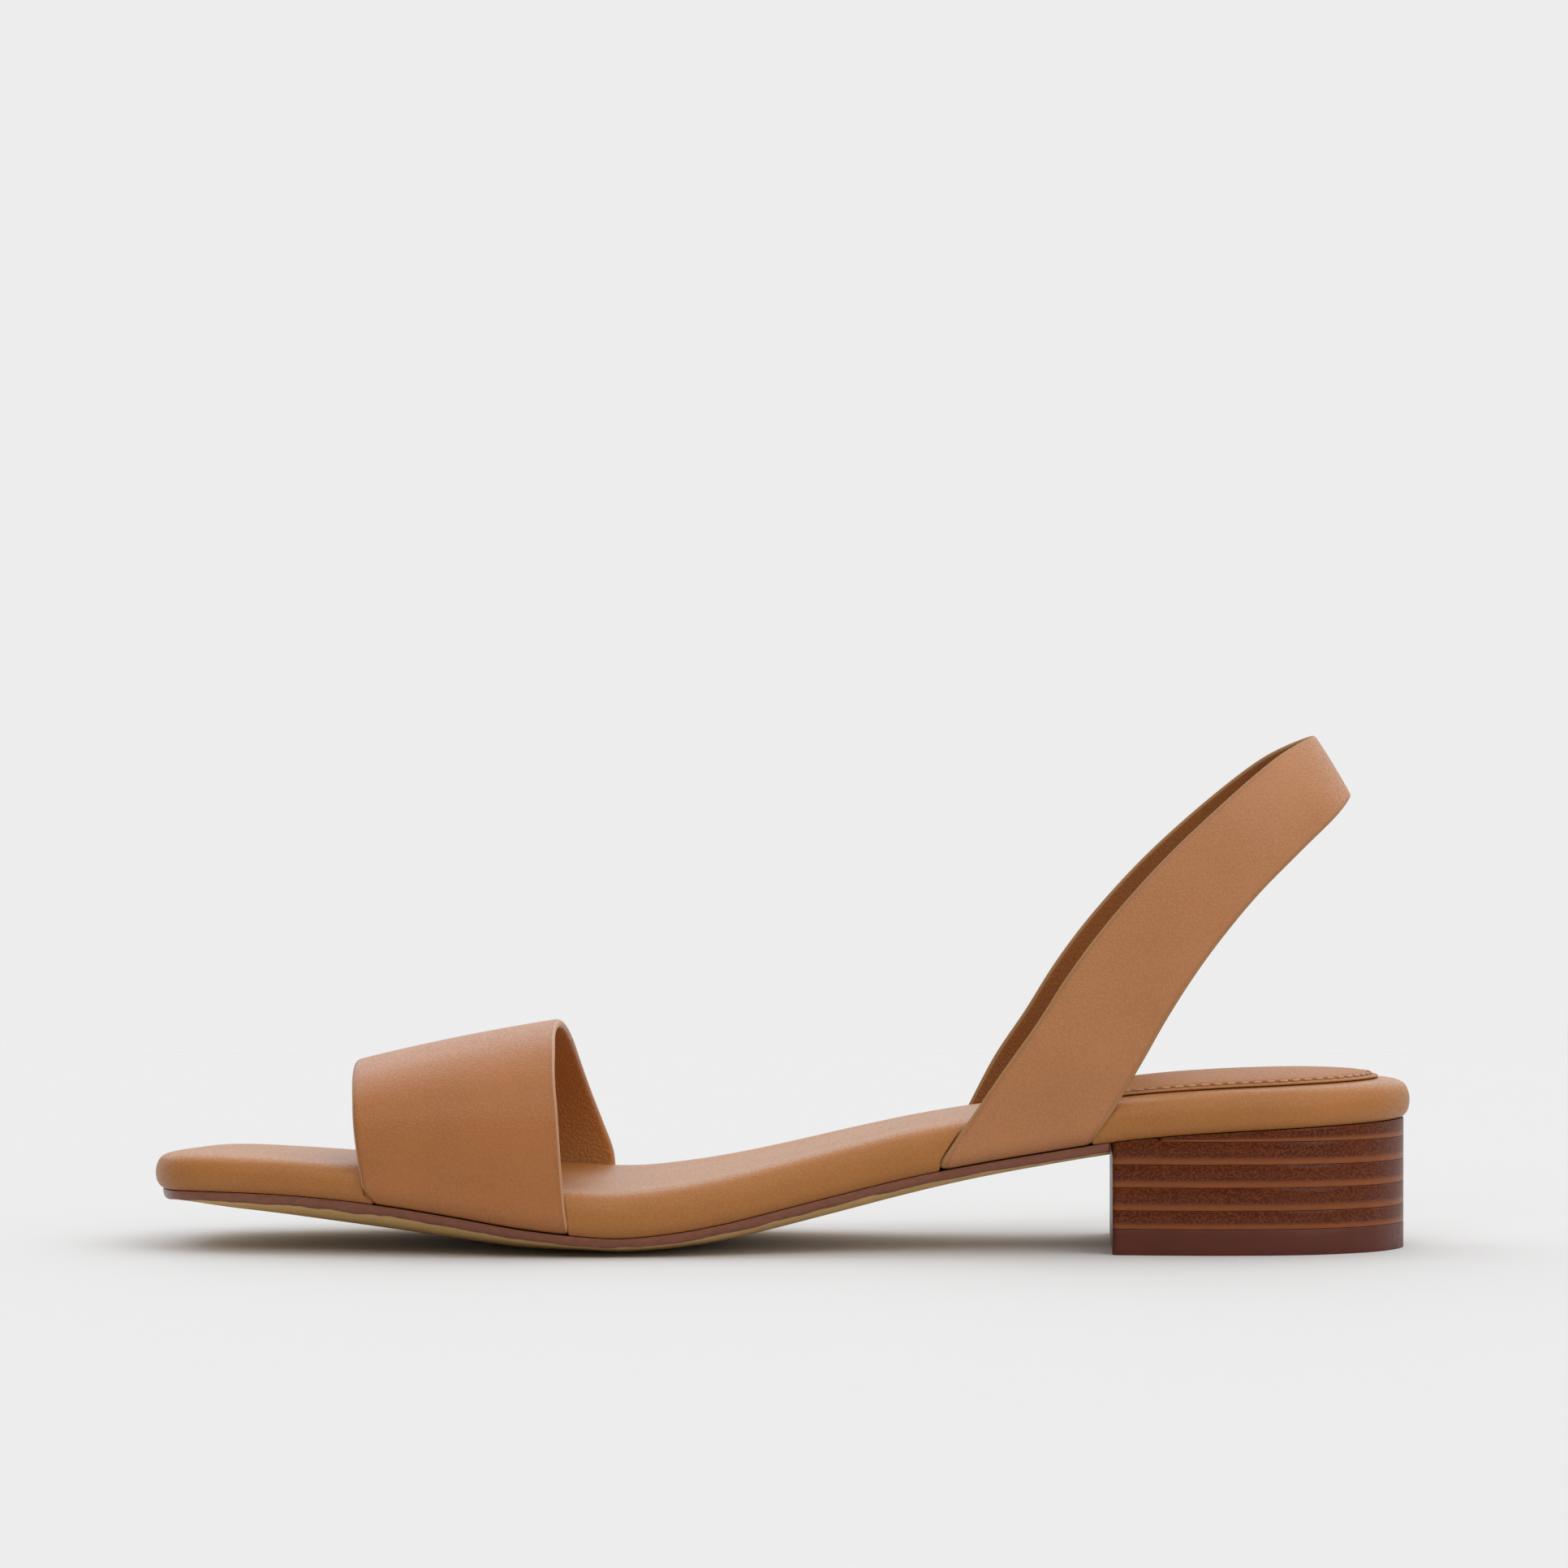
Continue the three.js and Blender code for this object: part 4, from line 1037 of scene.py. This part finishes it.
class SANDAL_OT_straps(bpy.types.Operator):
    """Make the front strap and the sling strap"""

    bl_idname = "sandal.straps"
    bl_label = "Straps"

    def execute(self, context):
        sizes = context.scene.sandal_sizes
        colours = context.scene.sandal_colours
        grain = sizes.grain / MM

        def outer_leather(name, colour):
            """Outer leather that is a little darker along the strap's edges."""
            material, tree, shader, tint = leather(name, colour, grain, 0.06, 0.37)
            gap = node(tree, "ShaderNodeAttribute", attribute_name="edge_gap").outputs["Fac"]
            line = combine(tree, "MULTIPLY", remap(tree, gap, 0.5, 1.3, 1.0, 0.0), 0.3)
            tree.links.new(blend(tree, line, tint, shaded(colour, 0.45)), shader.inputs["Base Color"])
            return material

        outer = outer_leather("front strap leather", colours.strap)
        sling_outer = outer_leather("sling leather", colours.sling)
        lining = leather("front strap lining leather", colours.lining, grain * 1.35, 0.14, 0.5, shine=0.2)[0]
        sling_lining = leather(
            "sling lining leather", colours.sling_lining, grain * 1.35, 0.12, 0.55, shine=0.15
        )[0]
        # Edge paint of the front strap, made lighter as a painted highlight on the rounded edge.
        painted = leather("front strap edge paint with painted sheen", colours.strap_edge, grain, 0.02, 0.4, mottle=0.05)[0]
        sling_painted = leather(
            "sling edge", colours.sling_edge, grain, 0.02, 0.6, mottle=0.05, shine=0.12
        )[0]
        front_edge = sizes.front_strap_edge / MM
        sling_edge = sizes.sling_edge / MM
        corner = sizes.strap_corner / MM
        front = strap_piece(
            "front_strap_leather", front_strap_rows, FRONT_STRAP_BASE_LENGTH, columns=26, steps=130,
            edge_mm=front_edge, corner=corner, materials=[outer, lining, painted],
        )
        seat_piece(front, "strap_leather", "front_strap")
        sling = strap_piece(
            "sling_strap_leather", sling_rows, SLING_MEAN_WIDTH, columns=15, steps=200,
            edge_mm=sling_edge, corner=SLING_CORNER, materials=[sling_outer, sling_lining, sling_painted],
        )
        seat_piece(sling, "strap_leather", "sling_strap")
        return {"FINISHED"}


def outsole_rings():
    """Rings of the outsole from its underside to its hidden top, and each point's distance from the paint."""
    base = evenly(FINE_OUTLINE, FOOTBED_POINTS)
    inward = inward_of(base)

    def ended(ring):
        """The ring cut off square at the heel breast."""
        past = ring[:, 0] > BREAST - SEAM
        count = int(past.sum())
        if count == 0:
            return ring
        order = np.roll(np.arange(len(ring)), -int(np.flatnonzero(~past & np.roll(past, -1))[0]))
        cut = ring.copy()
        cut[past, 0] = BREAST - SEAM
        cut[order[:count + 2], 1] = np.linspace(ring[order[0], 1], ring[order[count + 1], 1], count + 2)
        return cut

    def lumps(size, seed):
        spots = [(x / size, y / size, seed) for x, y in base]
        return np.array([noise.noise(spot) for spot in spots])

    thick = 0.32 * lumps(7.0, 1.0) + 0.14 * lumps(2.8, 2.0)
    bulge = 0.22 * lumps(5.0, 3.0) + 0.08 * lumps(2.2, 4.0)

    lower = base + inward * (OUTSOLE_MARGIN + OUTSOLE_EDGE_SLOPE)
    upper = base + inward * OUTSOLE_MARGIN
    steps = spline(UNDERSIDE, np.linspace(0, 1, 20))
    rings, paint = [], []
    for share, down in steps[::-1]:
        ring = ended(drawn_in(lower, max(share, 0.0)))
        x, y = ring[:, 0], ring[:, 1]
        fade = (1 - min(max(share, 0.0) / 0.1, 1)) * thick
        low = seat_height(x, y) - SEAM - OUTSOLE_EDGE - fade - OUTSOLE_CAMBER * profile("camber", x) * down
        rings.append(raised(ring, np.maximum(0, low)))
        paint.append(np.linalg.norm(ring - ended(lower), axis=1))
    for up in (0.12, 0.5, 0.88, 1.0, 1.0):
        inset = OUTSOLE_MARGIN + OUTSOLE_EDGE_SLOPE * (1 - up)
        ring = ended(base + inward * (inset - (0.15 + bulge) * swell_at(up))[:, None])
        x, y = ring[:, 0], ring[:, 1]
        edge = (OUTSOLE_EDGE + thick) * (1 - up)
        rings.append(raised(ring, np.maximum(0, seat_height(x, y) - SEAM * 0.2 - edge)))
        paint.append(np.zeros(len(ring)))
    for share in (0.1, 0.4, 0.7, 0.97):
        ring = ended(drawn_in(upper, share))
        x, y = ring[:, 0], ring[:, 1]
        rings.append(raised(ring, seat_height(x, y) - SEAM * 0.2))
        paint.append(np.zeros(len(ring)))
    return rings, np.concatenate(paint)


class SANDAL_OT_outsole(bpy.types.Operator):
    """Make the outsole with its painted edge and buffed underside"""

    bl_idname = "sandal.outsole"
    bl_label = "Outsole"

    def execute(self, context):
        colours = context.scene.sandal_colours
        rings, paint = outsole_rings()
        points, faces = ring_solid(rings)
        sole, tree, shader = new_material("outsole", **{"Specular IOR Level": 0.4})
        gap = node(tree, "ShaderNodeAttribute", attribute_name="paint_gap").outputs["Fac"]
        ragged = remap(tree, object_noise(tree, 4.0, 4.0), 0.3, 0.7, 0.3, 1.4)
        bare = remap(tree, combine(tree, "SUBTRACT", gap, ragged), 0.0, 0.2)
        streaks = object_noise(tree, 1.6, 4.0, (0.25, 1, 1))
        buffed = blend(tree, streaks, shaded(colours.underside, 0.82), shaded(colours.underside, 1.12))
        daubs = object_noise(tree, 0.9, 3.0, (0.5, 1, 1))
        painted = blend(tree, daubs, shaded(colours.sole_edge, 0.7), shaded(colours.sole_edge, 1.35))
        tree.links.new(blend(tree, bare, painted, buffed), shader.inputs["Base Color"])
        tree.links.new(remap(tree, bare, 0, 1, 0.34, 0.68), shader.inputs["Roughness"])
        fibres = object_noise(tree, 0.9, 4.0)
        inputs = {"Height": fibres, "Strength": 0.8, "Distance": 0.16 * MM}
        bump = node(tree, "ShaderNodeBump", inputs).outputs["Normal"]
        tree.links.new(bump, shader.inputs["Normal"])
        piece = make_piece("outsole_sheet", points, faces, [sole], shares={"paint_gap": paint},
                           ring=FOOTBED_POINTS)
        seat_piece(piece, "outsole_leather", "outsole")
        return {"FINISHED"}


HEEL_POINTS = 240
BREAST_CORNER = 0.8


def heel_outline(front):
    """The heel's D-shaped plan behind a line across the foot, anticlockwise, with rounded breast corners."""
    base = evenly(FINE_OUTLINE, FOOTBED_POINTS)
    inset = base + inward_of(base) * HEEL_MARGIN
    behind = inset[inset[:, 0] > front + 2 * BREAST_CORNER]
    centre = np.array([front + BREAST_CORNER, 0.0])
    angles = np.arctan2(behind[:, 1] - centre[1], behind[:, 0] - centre[0])
    behind = behind[np.argsort(angles)]
    turns = np.linspace(0, math.pi / 2, 6)

    def corner(side):
        edge = edge_at(front, side) - side * HEEL_MARGIN
        x = front + BREAST_CORNER * (1 - np.sin(turns))
        return np.stack([x, edge - side * BREAST_CORNER * (1 - np.cos(turns))], axis=1)

    return evenly(np.vstack([behind, corner(LATERAL), corner(MEDIAL)[::-1]]), HEEL_POINTS)


def heel_layer(name, node_name, slot, front, bottom, top, edge, material):
    """One layer of the heel, with fine rounded edges and its height share as an attribute."""
    outline = heel_outline(front)
    inward = inward_of(outline)
    low = np.full(len(outline), float(bottom))
    high = np.asarray(top(outline), float)
    rings, shares = [], []
    for inset, height, share in (
        (edge * 4, low, 0.0),
        (edge, low, 0.0),
        (edge * 0.3, low + edge * 0.3, 0.02),
        (0.0, low + edge, 0.05),
        (0.0, low + (high - low) * 0.33, 0.33),
        (0.0, low + (high - low) * 0.66, 0.66),
        (0.0, high - edge, 0.95),
        (edge * 0.3, high - edge * 0.3, 0.98),
        (edge, high, 1.0),
        (edge * 4, high, 1.0),
    ):
        rings.append(raised(outline + inward * inset, height))
        shares.append(np.full(len(outline), share))
    faces = [tuple(reversed(range(HEEL_POINTS)))]
    for k in range(len(rings) - 1):
        faces += ring_faces(k * HEEL_POINTS, HEEL_POINTS)
    last = (len(rings) - 1) * HEEL_POINTS
    faces.append(tuple(range(last, last + HEEL_POINTS)))
    piece = make_piece(
        name, np.vstack(rings), faces, [material], shares={"lift_share": np.concatenate(shares)}, smoothing=0
    )
    return seat_piece(piece, slot, node_name)


def stacked_leather(colours):
    """Polished lifts: dark and flecked above, a lighter band below."""
    polish = {"Specular IOR Level": 0.05, "Coat Weight": 0.3, "Coat Roughness": 0.2}
    material, tree, shader = new_material("stacked leather", **polish)
    share = node(tree, "ShaderNodeAttribute", attribute_name="lift_share").outputs["Fac"]
    fleck = remap(tree, object_noise(tree, 0.42, 3.0, (0.8, 0.8, 1.2)), 0.42, 0.6)
    patch = object_noise(tree, 7.0, 2.0)
    dark = blend(tree, fleck, colours.lift_dark, colours.lift_fleck)
    dark = blend(tree, combine(tree, "MULTIPLY", patch, 0.45), dark, colours.lift_fleck)
    soft = object_noise(tree, 1.1, 3.0, (0.35, 0.35, 1.2))
    light = blend(tree, soft, shaded(colours.lift_light, 0.72), shaded(colours.lift_light, 1.15))
    sway = combine(tree, "MULTIPLY", combine(tree, "SUBTRACT", soft, 0.5), 0.14)
    wander = combine(tree, "ADD", share, sway)
    band = remap(tree, wander, 0.14, 0.4)
    seam = remap(tree, share, 0.0, 0.06)
    colour = blend(tree, seam, shaded(colours.lift_dark, 0.6), blend(tree, band, light, dark))
    tree.links.new(colour, shader.inputs["Base Color"])
    tree.links.new(remap(tree, fleck, 0, 1, 0.42, 0.52), shader.inputs["Roughness"])
    inputs = {"Height": fleck, "Strength": 0.25, "Distance": 0.03 * MM}
    tree.links.new(node(tree, "ShaderNodeBump", inputs).outputs["Normal"], shader.inputs["Normal"])
    return material


class SANDAL_OT_heel(bpy.types.Operator):
    """Make the stacked heel: the top piece, four lifts and the wedge"""

    bl_idname = "sandal.heel"
    bl_label = "Heel"

    def execute(self, context):
        sizes = context.scene.sandal_sizes
        colours = context.scene.sandal_colours
        edge = sizes.lift_edge / MM
        gap = SEAM * 0.12
        stack = stacked_leather(colours)
        solid, tree, shader = new_material("top piece", **{"Specular IOR Level": 0.3})
        haze = object_noise(tree, 6.0, 4.0)
        tint = blend(tree, haze, shaded(colours.top_piece, 0.8), shaded(colours.top_piece, 1.2))
        tree.links.new(tint, shader.inputs["Base Color"])
        gloss = remap(tree, object_noise(tree, 1.4, 3.0), 0.3, 0.7, 0.38, 0.5)
        tree.links.new(gloss, shader.inputs["Roughness"])

        def under_seat(outline):
            return seat_height(outline[:, 0], outline[:, 1]) - gap * 2

        def flat(height):
            return lambda outline: np.minimum(height, under_seat(outline))

        floor = TOP_PIECE_HEIGHT
        top = flat(floor - gap)
        heel_layer("heel_top_piece_solid", "heel_top_piece", "heel_top_piece", BREAST, 0.0, top, edge, solid)
        places = np.arange(BREAST, SPINE_TO, 1.0)
        grown = seat_height(places, 0.0) - SEAM - LIFT_STACK >= WEDGE_EDGE_HEIGHT
        start = float(places[grown.argmax()])

        def last_top(outline):
            return np.where(outline[:, 0] < start - gap, under_seat(outline), flat(LIFT_STACK - gap)(outline))

        for number, height in enumerate(LIFT_HEIGHTS, start=1):
            node_name = f"heel_lift_{number}"
            top = last_top if number == len(LIFT_HEIGHTS) else flat(floor + height - gap)
            heel_layer(f"{node_name}_leather", node_name, "heel_stack", BREAST, floor, top, edge, stack)
            floor += height
        heel_layer("heel_wedge_leather", "heel_wedge", "heel_stack", start, floor, under_seat, edge, stack)
        return {"FINISHED"}


def sun_light(name, towards, angle, strength):
    """A wide, even light from one direction."""
    light = bpy.data.lights.new(name, "SUN")
    light.energy = strength
    light.angle = angle
    lamp = bpy.data.objects.new(name, light)
    lamp.rotation_euler = Vector(towards).to_track_quat("Z", "Y").to_euler()
    lamp.location = Vector(towards)
    bpy.context.scene.collection.objects.link(lamp)
    return lamp


class SANDAL_OT_stage(bpy.types.Operator):
    """Make the camera, the floor and the studio light"""

    bl_idname = "sandal.stage"
    bl_label = "Stage"

    def execute(self, context):
        scene = context.scene
        stage = scene.sandal_stage
        scene.view_settings.view_transform = "Standard"
        camera = bpy.data.cameras.new("photo camera")
        camera.sensor_width = 36
        camera.lens = stage.lens
        eye = bpy.data.objects.new("photo camera", camera)
        place = Vector((
            stage.camera_distance * math.sin(stage.camera_yaw),
            -stage.camera_distance * math.cos(stage.camera_yaw),
            stage.camera_height,
        ))
        eye.location = place
        aim = Vector((0, 0, stage.aim_height))
        eye.rotation_euler = (aim - place).to_track_quat("-Z", "Y").to_euler()
        scene.collection.objects.link(eye)
        scene.camera = eye

        world = bpy.data.worlds.new("studio")
        scene.world = world
        world.use_nodes = True
        tree = world.node_tree
        tree.nodes.clear()
        seen = node(tree, "ShaderNodeLightPath").outputs["Is Camera Ray"]
        coords = node(tree, "ShaderNodeTexCoord").outputs["Generated"]
        depth = node(tree, "ShaderNodeSeparateXYZ", {"Vector": coords}).outputs["Y"]
        bright = remap(tree, depth, -0.7, 0.5, stage.sky_front, stage.sky_back)
        sky = node(tree, "ShaderNodeBackground", {"Color": (1, 1, 1, 1), "Strength": bright})
        paper = node(tree, "ShaderNodeBackground", {"Color": (*stage.backdrop, 1), "Strength": 1.0})
        mixed = node(tree, "ShaderNodeMixShader", {0: seen, 1: sky.outputs[0], 2: paper.outputs[0]})
        node(tree, "ShaderNodeOutputWorld", {"Surface": mixed.outputs[0]})

        sun_light("top light", (0.1, 0.45, 1.0), math.radians(110), stage.top_light)
        sun_light("front light", (-0.3, -1.0, 0.85), math.radians(30), stage.front_light)
        sun_light("side light", (0.66, -0.62, 0.66), math.radians(56), stage.side_light)
        low = sun_light("low light", (0.15, -1.0, 0.05), math.radians(24), stage.low_light)
        low.visible_glossy = False

        self.make_floor(stage)
        return {"FINISHED"}

    def make_floor(self, stage):
        """A pale floor that fades into the backdrop."""
        half = 2.5
        mesh = bpy.data.meshes.new("floor")
        corners = [(-half, -half, 0), (half, -half, 0), (half, half, 0), (-half, half, 0)]
        mesh.from_pydata(corners, [], [(0, 1, 2, 3)])
        floor = bpy.data.objects.new("floor", mesh)
        bpy.context.scene.collection.objects.link(floor)
        material, tree, shader = new_material("pale floor", **{"Roughness": 0.85, "Specular IOR Level": 0.1})
        patches = object_noise(tree, 60.0, 2.0)
        tint = blend(tree, patches, shaded(stage.floor, 0.997), shaded(stage.floor, 1.003))
        tree.links.new(tint, shader.inputs["Base Color"])
        coords = node(tree, "ShaderNodeTexCoord").outputs["Object"]
        length = node(tree, "ShaderNodeVectorMath", {0: coords}, operation="LENGTH").outputs["Value"]
        fade = remap(tree, length, 0.3, 1.1)
        clear = node(tree, "ShaderNodeBsdfTransparent").outputs[0]
        output = next(n for n in tree.nodes if n.type == "OUTPUT_MATERIAL")
        mixed = node(tree, "ShaderNodeMixShader", {0: fade, 1: shader.outputs[0], 2: clear})
        tree.links.new(mixed.outputs[0], output.inputs["Surface"])
        mesh.materials.append(material)


class SANDAL_PT_panel(bpy.types.Panel):
    """Lists the sandal's pieces, sizes and colours"""

    bl_idname = "SANDAL_PT_panel"
    bl_label = "Block heel sandal"
    bl_space_type = "VIEW_3D"
    bl_region_type = "UI"
    bl_category = "Sandal"

    def draw(self, context):
        for operator in OPERATORS:
            self.layout.operator(operator.bl_idname)
        for group in (context.scene.sandal_sizes, context.scene.sandal_colours, context.scene.sandal_stage):
            box = self.layout.box()
            for name in group.__annotations__:
                box.prop(group, name)


OPERATORS = (
    SANDAL_OT_footbed,
    SANDAL_OT_heel_sock,
    SANDAL_OT_straps,
    SANDAL_OT_outsole,
    SANDAL_OT_heel,
    SANDAL_OT_stage,
)
CLASSES = (SandalSizes, SandalColours, StageSettings, *OPERATORS, SANDAL_PT_panel)


def register():
    for cls in CLASSES:
        bpy.utils.register_class(cls)
    bpy.types.Scene.sandal_sizes = PointerProperty(type=SandalSizes)
    bpy.types.Scene.sandal_colours = PointerProperty(type=SandalColours)
    bpy.types.Scene.sandal_stage = PointerProperty(type=StageSettings)


def unregister():
    del bpy.types.Scene.sandal_stage
    del bpy.types.Scene.sandal_colours
    del bpy.types.Scene.sandal_sizes
    for cls in reversed(CLASSES):
        bpy.utils.unregister_class(cls)


def main():
    register()
    for operator in OPERATORS:
        group, name = operator.bl_idname.split(".")
        getattr(getattr(bpy.ops, group), name)()


if __name__ == "__main__":
    main()
